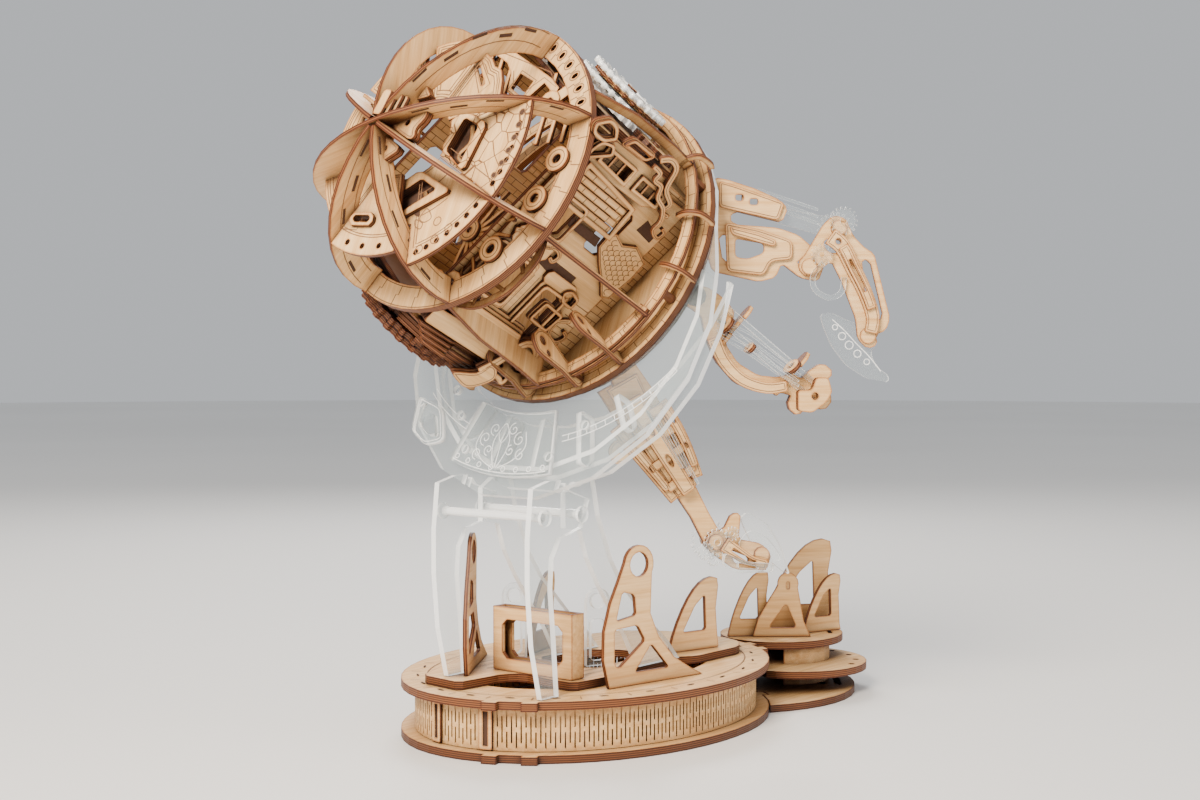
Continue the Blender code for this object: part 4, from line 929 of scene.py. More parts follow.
FAR_SLOT = [(32.2, -21.7), (33.0, -23.9), (22.2, -31.0), (21.4, -28.9)]
FAR_FRAME = [(33.5, -20.0), (35.7, -23.9), (21.9, -34.2), (17.8, -29.0)]
FAR_PETAL = [(14, -9.4), (40, -24.4), (35.5, -30.5), (31, -33.7), (28.7, -38.5), (23, -41),
             (12.9, -43.1), (5.4, -15.1)]
birch("petal_far", [FAR_PETAL, FAR_SLOT], ring_plane(PETAL_S))
engrave("petal_far_lines", contours(FAR_PETAL, 1.5, 2.6, 4.2) + [closed(FAR_FRAME)],
        ring_plane(PETAL_FACE))
PETALS = (("petal_top", 345, 390, 116, 50), ("petal_back_low", 210, 255, PETAL_S, 58),
          ("petal_back", 255, 300, PETAL_S, 54), ("petal_back_high", 300, 345, PETAL_S, 52))
for name, start, end, s, outer in PETALS:
    outline = wedge(start, end, 19, outer)
    middle = (start + end) / 2
    slot = [at(outer - 9, middle - 9), at(outer - 9, middle + 9), at(outer - 13, middle + 8),
            at(outer - 13, middle - 8)]
    birch(name, [outline, slot], ring_plane(s))
    engrave(name + "_lines", contours(outline, 1.6, 3.0, 5.0) + [closed(drawn_in(slot, -1.6))],
            ring_plane(s + 1.1))

# %% [markdown]
# The burnt lines of the nearest petals follow their borders too, with a small ring round
# each hole, a leaf and a heart cut between them.

# %% Lines on the near petals
LOWER_RINGS = [(-54.4, -13.2), (-62.4, -15.2), (-59.3, -22.6), (-54.7, -30.1), (-49.6, -36.6),
               (-45.9, -28.5)]
LOWER_HEARTS = ([(-44.5, -14.8), (-46.4, -19.6), (-49.2, -19.2), (-47.5, -15.5)],
                [(-40, -21), (-44, -24), (-46, -20.5), (-44, -17), (-39.8, -18.8)])
LEAF = [(-36, -9), (-41, -11.5), (-43, -16.5), (-38, -14)]
strokes = [round_line(x, y, 2.1, steps=12) for x, y in LOWER_RINGS]
strokes += contours(wedge(120, 165, 21, 63), 1.6, 3.0)
strokes += [closed(smooth(heart, whole=True)) for heart in LOWER_HEARTS]
strokes += [fan_arc(46, 139, 158, 10), fan_arc(34, 126, 160, 12)]
engrave("petal_lower_lines", strokes, ring_plane(PETAL_FACE))
# A black sheet of painted shade stands for the leaf cut through the petal.
dark_spot("petal_lower_leaf", smooth(LEAF, whole=True), ring_plane(PETAL_FACE + 0.02))

UPPER_HOLES = [at(59.5, 79 + 6 * i) for i in range(7)]
strokes = contours(wedge(75, 120, 21, 63), 1.6)
strokes += [round_line(*spot, 1.5, steps=10) for spot in UPPER_HOLES]
engrave("petal_upper_lines", strokes, ring_plane(PETAL_FACE))
# Black sheets of painted shade stand for the holes.
for i, spot in enumerate(UPPER_HOLES):
    dark_spot("petal_upper_hole_%d" % i, oval(*spot, 1.1, steps=10), ring_plane(PETAL_FACE + 0.02))

WINDOW_BACKS = (("upper", [(7, -26), (0, -40), (-21, -34), (-11.5, -20)],
                 [(3, -29), (-6, -31), (-12, -26), (-16, -30)]),
                ("lower", [(-23, -11), (-31.5, -28), (-43, -5.5), (-35, 9)],
                 [(-29, -12), (-34, -14), (-38, -6), (-36, 0)]))
# Each window is backed by a black sheet of painted shade.
for name, outline, key in WINDOW_BACKS:
    dark_spot("petal_window_back_" + name, outline, ring_plane(116.4), 0.4)
    birch("petal_window_key_" + name, [band(smooth(key), 2.6, 1.6)], ring_plane(117.2),
          thick=1.0)

LEFT_FACE = 126.1
DROP = [(-37.4, 22.0), (-39.9, 23.6), (-41.1, 20.4), (-39.1, 18.9)]
strokes = contours(wedge(165, 210, 23, 57), 1.6, 2.8)
strokes += [closed([(-42.5, 28.5), (-44.1, 12.5), (-51.2, 14.1), (-49.4, 29.5)]),
            [(-28.1, 21.3), (-37.7, 25.2), (-31.8, 19.7)]]
engrave("petal_left_lines", strokes, ring_plane(LEFT_FACE))
# A black sheet of painted shade stands for the drop cut through the petal.
dark_spot("petal_left_drop", smooth(DROP, whole=True), ring_plane(LEFT_FACE + 0.02))

# %% [markdown]
# Near the hub, round-lobed plates of two plies stand between the arches, like a clover.
# Each lobe is a closed flowing line through a few points.

# %% The clover round the hub
PLY_STEP = 2.05
CLOVER = (("clover_a", 138, (-7.1, -13.1),
           [(-4.1, 0), (-2.9, -4), (-0.1, -17.5), (-1.1, -22.9), (-5.7, -22.8), (-10.4, -19.1),
            (-14, -19.9), (-15.2, -16), (-4.9, 1.5)]),
          ("clover_b", 138, (-19.3, -3.8),
           [(-10.4, 4.4), (-19, -12.5), (-25, -5.5), (-29.6, 0.2), (-13.9, 4.9)]),
          ("clover_c", 134, (9.3, -6.3),
           [(12.1, -1.9), (18.2, -8.4), (10.7, -15.2), (8.1, -15.6), (6.7, 1.7)]),
          ("clover_d", 134, (-22.6, 16.6),
           [(-24.2, 22.8), (-19, 16.4), (-21.2, 14.8), (-26, 13.5)]))
for name, s, hole, points in CLOVER:
    lobe = smooth(points, 3, whole=True)
    for ply in range(2):
        birch("%s_%d" % (name, ply), [lobe, oval(*hole, 1.6, steps=10)],
              ring_plane(s + PLY_STEP * ply - 1))
    engrave(name + "_lines", [closed(drawn_in(lobe, 1.2))], ring_plane(s + 2.15))
for ply in range(4):
    slip = 1.5 * ply
    stub = [(-7, -8 + slip), (5, -11 + slip), (6, -6 + slip), (-6, -3 + slip)]
    birch("hub_stub_%d" % ply, [softened(stub, 1.5)], ring_plane(141.5 + PLY_STEP * ply), thick=1.8)

# %% [markdown]
# Each arch has slots along its middle, where the ribs of the real bell lock into it, and a
# burnt line that follows the slots. From outside the slots read as short dark strokes, so each
# is a thin black sheet of painted shade rather than a cut.

# %% Slots and lines of the arches
DOME_H, DOME_R = 57.0, 74.0
SLOT_TURN = 7
JUST_OFF = PLY / 2 + 0.08


def arch_point(share, turn):
    """A point of an arch, by its share of the arch's full size and its turn round it."""
    return DOME_R * share * cos(radians(turn)), DOME_H * share * sin(radians(turn))


for name, angle, side in (("arch_a", 75, 1), ("arch_c", 165, -1), ("arch_d", 210, -1),
                          ("arch_e", 30, 1), ("arch_b", 120, 1)):
    rib_face = lifted(spoke_plane(angle, DOME_FOOT, DOME_LEAN), JUST_OFF * side)
    for k, turn in enumerate((14, 27, 41, 55, 70)):
        low, high = (0.90, 0.925) if k % 2 else (0.945, 0.965)
        slot = [arch_point(low, turn), arch_point(high, turn), arch_point(high, turn + SLOT_TURN),
                arch_point(low, turn + SLOT_TURN)]
        dark_spot("%s_slot_%d" % (name, k), slot, rib_face)
    engrave(name + "_lines", [[arch_point(share, 6 + 6 * i) for i in range(13)]
                              for share in (0.875, 0.975)], rib_face)

# %% [markdown]
# ## The crown ring
#
# The crown's face carries a row of oval holes, each with a burnt ring round it, and a
# stepped joint line between its blocks. Behind it, thin slats stand across the bell, and
# they are what makes its inside look so deep.

# %% Lines on the crown, slats behind it
CROWN_FACE = 91.1
CROWN_IN, CROWN_OUT = 63, 73.6
OVAL_R = 68.25
SLAT_REACH = 61
strokes = []
for i in range(11):
    a = 67 - 7 * i
    strokes.append(round_line(*at(OVAL_R, a), 2.9, 2.1, steps=14, turn=-a))
    joint, jog = a - 3.5, a - 2.4
    strokes.append([at(CROWN_IN, joint), at(66.5, joint), at(66.5, jog), at(70, jog), at(70, joint),
                    at(CROWN_OUT, joint)])
for i in range(14):
    a = 82 + 11 * i
    strokes.append([at(CROWN_IN, a), at(68, a), at(68, a + 1.4), at(CROWN_OUT, a + 1.4)])
strokes += [fan_arc(73.0, 75, 236, 40), fan_arc(63.4, 75, 236, 40), fan_arc(73.2, -12, 71, 24)]
engrave("crown_lines", strokes, ring_plane(CROWN_FACE))
for i in (0, 1, 2, 6, 7, 8):
    y = -56 + 7.5 * i
    reach = sqrt(SLAT_REACH ** 2 - y ** 2)
    birch("crown_slat_%d" % i, [box(8, y - 1, reach, y + 1)], ring_plane(88.6 + 0.02 * i),
          thick=1.6)
BRACKET = [(61, -1), (45.5, -38), (37, -44), (43, -35), (36.5, -25), (41, -16.5), (49, -14)]
BRACKET_WINDOW = [(48.5, -19.5), (42, -30.5), (32, -25), (38.7, -13.8)]
engrave("bracket_lines", [BRACKET, closed(BRACKET_WINDOW)], ring_plane(90.08))
for k, (r, a) in enumerate(((60.5, 92.6), (58.5, 112), (59.1, 141.2), (62, 172))):
    x, y = at(r, a)
    birch("crown_washer_%d" % k, [oval(x, y, 6.2, steps=22), oval(x, y, 2.4, steps=12)],
          ring_plane(92.2))
    engrave("crown_washer_line_%d" % k, [round_line(x, y, 4.4, steps=18)], ring_plane(93.28))
print("crown strokes:", len(strokes))

# %% [markdown]
# Inside the lower half of the crown a second ring runs off the bell's axis, tied to the
# outer one by short struts, and a fan of curved ribs spreads from a small disc.

# %% The off-centre ring, its struts and the fan
TRUSS = [at(r, a) for r, a in ((58.6, 120), (62.5, 122), (68.8, 130), (71.4, 140), (72.3, 149),
                               (70.9, 161), (64.4, 174))]
TRUSS_S = 79
TRUSS_INNER = 0.87
truss_line = smooth(TRUSS)
truss_last = len(truss_line) - 1
inner_line = [(x * TRUSS_INNER, y * TRUSS_INNER) for x, y in truss_line]
birch("truss_ring", [band(truss_line, 3.2)], ring_plane(TRUSS_S))
birch("truss_ring_inner", [band(inner_line, 2.6)], ring_plane(TRUSS_S))
for k, share in enumerate((0.12, 0.3, 0.48, 0.66, 0.84)):
    lean = 0.05 if k % 2 else -0.05
    ends = [truss_line[int(share * truss_last)], inner_line[int((share + lean) * truss_last)]]
    birch("truss_strut_%d" % k, [band(ends, 2.0)], ring_plane(TRUSS_S + 0.4 + 0.05 * k), thick=1.2)
FAN_HUB = (-31.5, -12.1)
FAN_BENDS = ((4.5, 0), (11, 9), (18, 13), (25, 12))
birch("fan_disc", [oval(*FAN_HUB, 5.5, steps=18), oval(*FAN_HUB, 1.6, steps=10)], ring_plane(84.5))
for k in range(9):
    ray = [polar(r, 150 + 20 * k + bend, *FAN_HUB) for r, bend in FAN_BENDS]
    ray = [(x, y) for x, y in ray if hypot(x, y) < SLAT_REACH]
    birch("fan_rib_%d" % k, [band(smooth(ray, 3), 2.2, 1.3)], ring_plane(82.6 + 0.03 * k),
          thick=1.6)
engrave("fan_disc_lines", [round_line(*FAN_HUB, 4.2, steps=16)], ring_plane(85.6))

# %% [markdown]
# ## The house front on the bell
#
# The near side of the box-shaped core is a house front built up from two or three layers
# of ply: window frames, a louvred shutter, a scaled roof, boxes and scrolls. The first two
# layers are solids already. The frames stand on them, each a loop with its own inner
# contour as the hole, because a frame of even width needs nothing but its outer line.

# %% Frames, boxes and roof plates
FRONT_PLATE_N = 44.3
FRONT_LAYER_N = 46.3


def frame_of(name, outline, width, n, thick=1.6):
    """A frame that stands on the house front; n is the height of the face below it."""
    return birch(name, [outline, drawn_in(outline, width)], front_plane(n + thick / 2), thick=thick)


WINDOWS = [[(74.6, 55.4), (53.5, 55.5), (52.8, 46.9), (73.9, 48.1)],
           [(47.4, 55), (29.2, 55), (28.6, 48), (46.9, 47.6)]]
for k, window in enumerate(WINDOWS):
    frame_of("house_window_%d" % k, drawn_in(window, -0.8), 1.7, FRONT_LAYER_N)
    (x0, y0), (x1, y1), (x2, y2), (x3, y3) = window
    for share in (0.33, 0.66):
        a = (x0 + (x1 - x0) * share, y0 + (y1 - y0) * share)
        b = (x3 + (x2 - x3) * share, y3 + (y2 - y3) * share)
        birch("house_window_%d_bar_%d" % (k, int(100 * share)), [band([a, b], 1.0)],
              front_plane(FRONT_LAYER_N + 0.6), thick=1.2)
SHUTTER = [(77, 45.2), (36.8, 41.6), (34.6, 22.4), (76, 22.6)]
frame_of("shutter_frame", SHUTTER, 2.2, FRONT_LAYER_N)
BOXES = (("corner_box", [(93.3, 60.1), (87.1, 66.7), (80.3, 65.8), (75, 60.3), (81.3, 54.8),
                         (89.7, 54.8)], 2.6),
         ("low_box", [(33.2, -10), (28.9, -6.1), (20.3, -8.3), (20.4, -15.9), (29.9, -15.4)], 2.2),
         ("middle_box", [(36.5, -18), (37.5, -31), (22, -32), (20.5, -19)], 2.4),
         ("roof_left", [(83.1, 43.6), (84.5, 49.9), (82.4, 56.7), (74.2, 59.0), (70.2, 53.5)], 2.3),
         ("roof_right", [(72.3, 60.0), (69.1, 66.6), (51.4, 67.0), (54.3, 60.7)], 2.0))
for name, outline, width in BOXES:
    base_n = FRONT_LAYER_N if outline[0][1] > 40 else FRONT_PLATE_N
    shape = softened(outline, 2.5)
    frame_of(name, shape, width, base_n, 2.0)
    frame_of(name + "_top", drawn_in(shape, 0.7), width * 0.6, base_n + PLY_STEP, 1.4)
    engrave(name + "_line", [closed(drawn_in(shape, width * 0.35))], front_plane(base_n + 2.08))

# %% [markdown]
# The dark openings of the real front lead into the gear box. A thin black sheet of painted
# shade reads as such an opening where there is none behind. The roof is engraved with rows of
# round scales, each kept only where it falls inside the roof's outline.

# %% Openings, scales and burnt lines
def opening(name, outline, n):
    """A dark opening of painted shade in the face that lies n millimetres out."""
    dark_spot(name, outline, front_plane(n + 0.05), 0.04)


opening("opening_sill", [(60, 20.2), (38.7, 20.8), (37.1, 15.8), (59.3, 16)], FRONT_LAYER_N)
opening("opening_low", [(57, -1), (30, -1.5), (30, -6), (44, -8), (57, -6)], FRONT_PLATE_N)
opening("opening_side", [(24, 34), (12, 33), (12, 38), (23, 41)], FRONT_PLATE_N)
opening("opening_foot", [(26, -36), (12, -35), (12, -47), (24, -48)], FRONT_PLATE_N)


def within(point, loop):
    """Whether a point lies inside an outline."""
    x, y = point
    inside = False
    for (x0, y0), (x1, y1) in zip(loop, loop[1:] + loop[:1]):
        if (y0 > y) != (y1 > y) and x < x0 + (x1 - x0) * (y - y0) / (y1 - y0):
            inside = not inside
    return inside


ROOF_SCALES = [(36.1, 23.7), (32.7, 27.1), (25.1, 24.6), (17.3, 28.3), (5.9, 24.3), (5.1, 14.8),
               (7, 0), (11.4, -1.7), (20.1, 5.5), (27.8, 10.6), (35.4, 16.8)]
SCALE = 1.9
scale_room = drawn_in(ROOF_SCALES, SCALE)
scale_lines = [closed(drawn_in(ROOF_SCALES, 0.8))]
for row in range(12):
    for column in range(12):
        x, y = 5.5 + 2.7 * row, -1.0 + 3.2 * column + (1.6 if row % 2 else 0)
        if within((x, y), scale_room) and within((x + 1.8, y), scale_room):
            scale_lines.append(oval(x, y, SCALE, 1.55, steps=7, start=-90, end=90))
engrave("roof_scale_lines", scale_lines, front_plane(FRONT_LAYER_N + LINE_LIFT))

panel_lines = [[(8, -12 - 3.5 * i), (18.5, -12 - 3.5 * i)] for i in range(6)]
panel_lines += [[(x, -12), (x, -37)] for x in (47, 50.5, 54)]
panel_lines += [[(45, y), (82, y)] for y in (-34.5, -36)]
panel_lines += [closed([(79.6, -9), (79.6, -33), (54.4, -33), (54.4, -9)]),
                [(80, 6), (80, 30), (72, 40)], [(82, 4), (82, 32), (73, 42.5)],
                closed([(43.5, -12.6), (43.5, -41.4), (38, -43), (10, -50)])]
engrave("front_lines", panel_lines, front_plane(FRONT_PLATE_N + LINE_LIFT))
louvre_lines = []
for i in range(5):
    q, shift = 24.5 + 3.6 * i, 4 if i % 2 else 0
    louvre_lines += [[(x + shift, q + 0.3), (x + shift, q + 2.7)] for x in range(40, 76, 9)]
engrave("louvre_lines", louvre_lines, front_plane(FRONT_LAYER_N + LINE_LIFT))
print("scales:", len(scale_lines))

# %% [markdown]
# Plates of several steps frame the deep windows of the front, and scrolls hang over it.
# A scroll is one flowing strip whose width tapers towards the curl.

# %% Stepped surrounds and scrolls
def grown(x0, y0, x1, y1, by):
    """A box with all its sides moved out by the same amount."""
    return box(x0 - by, y0 - by, x1 + by, y1 + by)


def surround(k, level_up, opening_box, n):
    """One step of a surround: the upper step is narrower than the lower one."""
    outer = softened(grown(*opening_box, 3.4 - 1.5 * level_up), 3)
    inner = softened(grown(*opening_box, 0.3 * level_up), 2)
    birch("surround_%d_%d" % (k, level_up), [outer, inner], front_plane(n + 0.8), thick=1.6)


for k, opening_box in enumerate(((56, -32, 78, -10), (28, -40, 42, -14))):
    surround(k, 0, opening_box, FRONT_PLATE_N)
    surround(k, 1, opening_box, FRONT_PLATE_N + 1.62)
surround(2, 1, (58, 8, 76, 26), FRONT_LAYER_N)

SCROLLS = (("scroll_high", 48.4, 3.0, [(48.6, 66.2), (43.6, 69.8), (37.1, 67.8), (33.1, 58.1),
                                       (24.7, 54), (25.6, 48.6), (19.6, 48.8)]),
           ("scroll_long", 50.4, 2.4, [(50.6, 62.6), (44.7, 62), (44, 58), (38.5, 57.7), (35, 52.8),
                                       (27.7, 50.5), (22.9, 45), (22.5, 39.7), (17, 38), (16, 42),
                                       (19, 43)]),
           ("scroll_foot", 45.3, 2.4, [(14, -20), (20, -24), (19, -31), (12, -33), (9, -28),
                                       (13, -26)]),
           ("scroll_sill", 45.3, 2.6, [(80, 0), (72, 3), (62, 1), (54, 4), (49, 2), (50, -2),
                                       (53, -1)]))
for name, n, width, points in SCROLLS:
    line = smooth(points)
    birch(name, [band(line, width, width * 0.7)], front_plane(n))
    engrave(name + "_line", [line[1:-1]], front_plane(n + JUST_OFF))
print("scrolls:", [row[0] for row in SCROLLS])

# %% [markdown]
# Bars run along the bell from the rim to the crown outside the core. They are cut like the
# two stringers that are solids: flat, with a foot at each end that reaches in to the ring.

# %% More bars along the bell
for name, angle, wide in (("bar_under", 186, 4.0), ("bar_top", 12, 4.0),
                          ("bar_back", 300, 4.0), ("bar_high", 62, 3.5)):
    outline = [(74.5, 14.4), (79.5, 14.4), (80.5, 30), (79.5, 60), (74, 86.6), (64, 86.6),
               (64, 83.5), (71, 82), (76 - wide / 4, 60), (77 - wide / 4, 30), (74.5, 20)]
    birch(name, [outline], spoke_plane(angle))
birch("front_band_low", [bent_strip(0, 0, 76.4, 5.6, -236, -120, 30)], ring_plane(15.1),
      pattern=ring_blocks)
engrave("front_band_marks", [[at(74.4, a), at(76.5, a), at(76.5, a + 1.2), at(78.6, a + 1.2)]
                             for a in range(124, 234, 6)], ring_plane(16.2))

# %% [markdown]
# ## The underside: hook, clip and stepped plates
#
# A large hook with a curled end lies across the bottom of the bell, beside a clip with two
# eyes that reaches over the rim. Behind them, plates step back towards the gear stack.

# %% The hook and the clip
hook_curl = smooth([(40, -64), (36.5, -56.5), (33.8, -49), (32, -42), (28.8, -38.8), (24.8, -38.8),
                    (21.3, -41.4), (19.2, -45), (19, -49.2), (20.6, -52), (23.4, -53), (26.4, -52),
                    (27.6, -50.2), (26.6, -48.9), (24.6, -49)])
hook_body = smooth([(40.6, -65.1), (51.4, -70.9), (45.4, -73.6), (38.4, -73.8), (32.2, -68.2),
                    (29.6, -62.3), (33.5, -58), (38, -58.5)], whole=True)
hook_tip = smooth([(31, -62), (25.8, -62.1), (22.5, -63.4), (21.8, -60.0), (23.6, -57)])
HOOK_N = 49.2
for ply in range(2):
    n = HOOK_N + PLY_STEP * ply
    birch("hook_curl_%d" % ply, [band(hook_curl, 4.6, 2.2)], front_plane(n))
    birch("hook_body_%d" % ply, [hook_body], front_plane(n + 0.02))
birch("hook_tip", [band(hook_tip, 2.8, 1.8)], front_plane(HOOK_N + 0.04))
birch("hook_foot", [softened([(36, -44), (30, -44), (29, -64), (35, -66)], 2)],
      front_plane(HOOK_N - PLY_STEP))
birch("hook_spacer", [softened([(35, -46), (31, -46), (30, -54), (34.5, -54)], 1)],
      front_plane(HOOK_N - 2 * PLY_STEP))
engrave("hook_lines", [hook_curl[2:-2], closed(drawn_in(hook_body, 1.2))],
        front_plane(HOOK_N + 3.12))

CLIP = [(69.5, 41.8), (64.2, 35.8), (64.5, 29.5), (66.4, 26.4), (69.4, 21.8), (74, 12.5),
        (72.1, -0.2), (76.3, 0.2), (78.6, 3.8), (83, 8.4), (79.6, 19.6), (78.2, 35.4), (75.9, 40)]
for name, angle, along in (("clip_a", 157, 0), ("clip_b", 140, -2), ("clip_c", 178, 1)):
    shape = [(r, s + along) for r, s in smooth(CLIP, 2, whole=True)]
    eyes = [oval(70.2, 35.2 + along, 2.4, steps=12), oval(75.3, 31 + along, 1.7, steps=10)]
    birch(name, [shape, *eyes], spoke_plane(angle))
    for side, word in ((-1, "in"), (1, "out")):
        engrave("%s_line_%s" % (name, word), [closed(drawn_in(shape, 1.1))],
                lifted(spoke_plane(angle), JUST_OFF * side))
hoop = band(smooth([(73, 17.5), (79, 19), (84.5, 16), (85.5, 8), (84.5, 5)]), 2.6)
for name, angle in (("hoop_a", 84), ("hoop_b", 104), ("hoop_c", 62), ("hoop_d", 206)):
    birch(name, [hoop], spoke_plane(angle))
print("clips and hoops ready")

# %% [markdown]
# The shaft comes out at the upper end of the core, where three more gears sit on it. They
# ride on the shaft's body, so that they turn with the gears below. Two are clear and one is
# ply. Six round windows lighten each of the lower two, and the top one is an open ring.

# %% Gears on the upper end of the shaft
SHAFT_S = 48.0
TOOTH_H = 2.4
TOP_GEARS = ((71.7, 30, 23, 2.8, clear), (74.7, 22, 17.5, 2.0, birch), (77.4, 26, 20, 2.8, clear))
for k, (q, teeth, root, thick, kind) in enumerate(TOP_GEARS):
    holes = [oval(*polar(root * 0.62, a, SHAFT_S), root * 0.2, steps=12)
             for a in range(0, 360, 60)]
    if k == 2:
        holes = [oval(SHAFT_S, 0, root * 0.5, steps=20)]
    kind("top_gear_%d" % k, [cog(SHAFT_S, 0, teeth, root, root + TOOTH_H), *holes],
         shaft_plane(q), "gear_shaft", thick=thick)

# %% [markdown]
# Under the core, plates of ply step back round the large gears. The gears turn, so the
# plates are cut as arcs about the shaft with room for the widest gear's teeth.

# %% Stepped plates beside the gears
GEAR_ROOM = 38.5
GUARD_R = 47
WASHER_R = 42.7


def core_side_plate(name, outline, q, holes=()):
    """A plate that lies in the plane of the gears, q millimetres along the shaft."""
    return birch(name, [outline, *holes], shaft_plane(q))


guard = [polar(GUARD_R, a, SHAFT_S) for a in range(40, 146, 7)]
guard += [polar(GEAR_ROOM, a, SHAFT_S) for a in range(146, 39, -7)]
for k in range(3):
    core_side_plate("stepped_plate_%d" % k, drawn_in(guard, 0.9 * k + 0.1), -65.1 - PLY_STEP * k)
for k, turn in enumerate((62, 92, 122)):
    x, y = polar(WASHER_R, turn, SHAFT_S)
    core_side_plate("stepped_washer_%d" % k, oval(x, y, 2.2, steps=14), -71.2,
                    [oval(x, y, 0.9, steps=8)])
NOTCHED = [(66, -34.9), (32.5, -35.2), (31, -41.6), (35, -43.5), (66, -41.5)]
for k in range(3):
    outline = [(x + 1.2 * k, y - 1.5 * k) for x, y in NOTCHED]
    birch("notched_plate_%d" % k, [softened(outline, 1)], front_plane(FRONT_PLATE_N + 1 + 2.02 * k))
for k in range(7):
    birch("notch_%d" % k, [box(35 + 4.2 * k, -50, 37.2 + 4.2 * k, -45.5)],
          front_plane(FRONT_PLATE_N + 1.1))
LOWER_BARS = ([(71.6, -50.4), (53.1, -47.5)], [(82, -44), (66, -42)], [(80, -52), (60, -53)])
for k, ends in enumerate(LOWER_BARS):
    birch("lower_bar_%d" % k, [band(ends, 3.4)], front_plane(FRONT_PLATE_N + 1.05 + 2.02 * (k % 2)))
for k in range(4):
    outline = [(16 + 2 * k, -58.5), (84, -58.5), (84, -53 + 1.2 * k), (46, -51 + k), (42, -54 + k),
               (16 + 2 * k, -54 + k)]
    birch("under_front_%d" % k, [softened(outline, 1.2)], front_plane(43.5 + 1.62 * k), thick=1.55)
for k in range(4):
    near, far = 18 + 5 * k, 82 - 3 * k
    outline = [(near, 41.2), (far, 41.2), (far, 46.5), (60, 46.5 + k), (56, 44), (40, 44),
               (36, 46.5 + k), (near, 46.5)]
    core_side_plate("under_strip_%d" % k, softened(outline, 1.0), -60.9 - 2.4 * k)

# %% [markdown]
# ## The clear skirt
#
# Under the bell hangs a skirt of clear acrylic: a front and a back plate with ribs between
# them. Its plates are engraved, and on clear acrylic an engraved line is a frosted white
# one. The plants and bubbles on it are plain curls and circles of a generic kind.

# %% Ribs, second layer and bolts of the skirt
SKIRT_IN = 88
for k, (angle, reach) in enumerate(((204, 108), (190, 116), (176, 116), (162, 116), (148, 108))):
    rib = [(SKIRT_IN, -14.9), (reach - 6, -14.9), (reach, -10), (reach, -3.7), (SKIRT_IN, -3.7)]
    clear("skirt_rib_%d" % k, [softened(rib, 2)], spoke_plane(angle))
left_panel = softened([(-80, 76), (-86.5, 57), (-104, 49.5), (-107, 62), (-99, 74)], 4)
clear("skirt_left_panel", [left_panel, drawn_in(left_panel, 5)], ring_plane(1.4))
apron = fan_arc(121, 168, 200, 12) + fan_arc(SKIRT_IN, 168, 200, 10)[::-1]
clear("skirt_apron", [apron], ring_plane(1.4))
BOLTS = ((100, 206, 0.95), (113, 196, 4.15), (113, 168, 4.15), (100, 158, 0.95), (92, 214, 0.95))
for k, (r, a, height) in enumerate(BOLTS):
    clear("skirt_bolt_%d" % k, [oval(*at(r, a), 2.4, steps=12)], ring_plane(height), thick=2.4)

# %% [markdown]
# The plant is drawn once on each side of its stem, mirrored: curls, two long leaves and a
# bud on top. Bubbles and a line follow the apron's edge.

# %% Frosted engraving
STEM_Y = 10
FROST_W = 0.45
CURLS = ((-97, 6, 3.4), (-102, 11, 3.8), (-108, 7, 3.0), (-110, 14, 3.2))
LEAVES = ([(-117, 1), (-110, 4), (-103, 5), (-96, 2)],
          [(-117, 2), (-113, 10), (-106, 16), (-98, 14)])
swirls = []
for hand in (-1, 1):
    for x, out, size in CURLS:
        swirls.append(curl(x, STEM_Y + hand * out, size, 1.3, 180 if hand > 0 else 0, -hand))
    swirls += [smooth([(x, STEM_Y + hand * out) for x, out in leaf]) for leaf in LEAVES]
bud = [(-94, STEM_Y), (-99, STEM_Y + 3), (-104, STEM_Y), (-99, STEM_Y - 3)]
swirls += [closed(smooth(bud, whole=True)), [(-104, STEM_Y), (-117, STEM_Y)]]
swirls += [round_line(*at(117.5, a), 1.3, steps=10) for a in range(170, 200, 4)]
swirls.append(fan_arc(119.6, 169, 199, 16))
engrave("skirt_plants", swirls, ring_plane(2.95), ink=FROST, width=0.5)
RIM_LINES = ((104, 200, 222, 12), (101, 200, 222, 12), (104, 128, 166, 20), (101, 128, 166, 20))
rim_strokes = [fan_arc(*arc) for arc in RIM_LINES]
rim_strokes += [[at(101, a), at(104, a)] for a in range(128, 166, 3)]
engrave("skirt_rim_lines", rim_strokes, ring_plane(-0.2), ink=FROST, width=FROST_W)
engrave("skirt_panel_lines", contours(left_panel, 1.2), ring_plane(2.95), ink=FROST, width=FROST_W)

# %% [markdown]
# ## The tentacles
#
# Each tentacle is a stack: a ply arm in the middle, cheeks with oval holes over it, clear
# links behind it, and small clear gears and washers at the joints. A cheek is a strip that
# follows the arm, and it rides on the arm's own body so that it turns with it. The cheeks
# stop short of the joints, where the next segment needs its room.

# %% The upper tentacle
CHEEK_T = 1.9
CHEEK_STEP = 1.95
ARM_TOP = 2.05
FORE_TOP = 5.85


def cheek(name, outline, place, height, body, holes=(), ink=True):
    """A cheek that lies on a face of its arm, with a burnt line along its border."""
    middle = lifted(place, height + CHEEK_T / 2)
    birch(name, [outline, *holes], middle, body, CHEEK_T, shade=-0.03)
    if ink:
        face = lifted(place, height + CHEEK_T + LINE_LIFT)
        engrave(name + "_line", [closed(drawn_in(outline, 1.1))], face, body)


def small_cog(name, x, y, teeth, root, height, tooth, bore, place, body):
    """A small clear toothed wheel with a hole in its middle."""
    clear(name, [cog(x, y, teeth, root, root + tooth), oval(x, y, bore, steps=10)],
          lifted(place, height), body, thick=2)


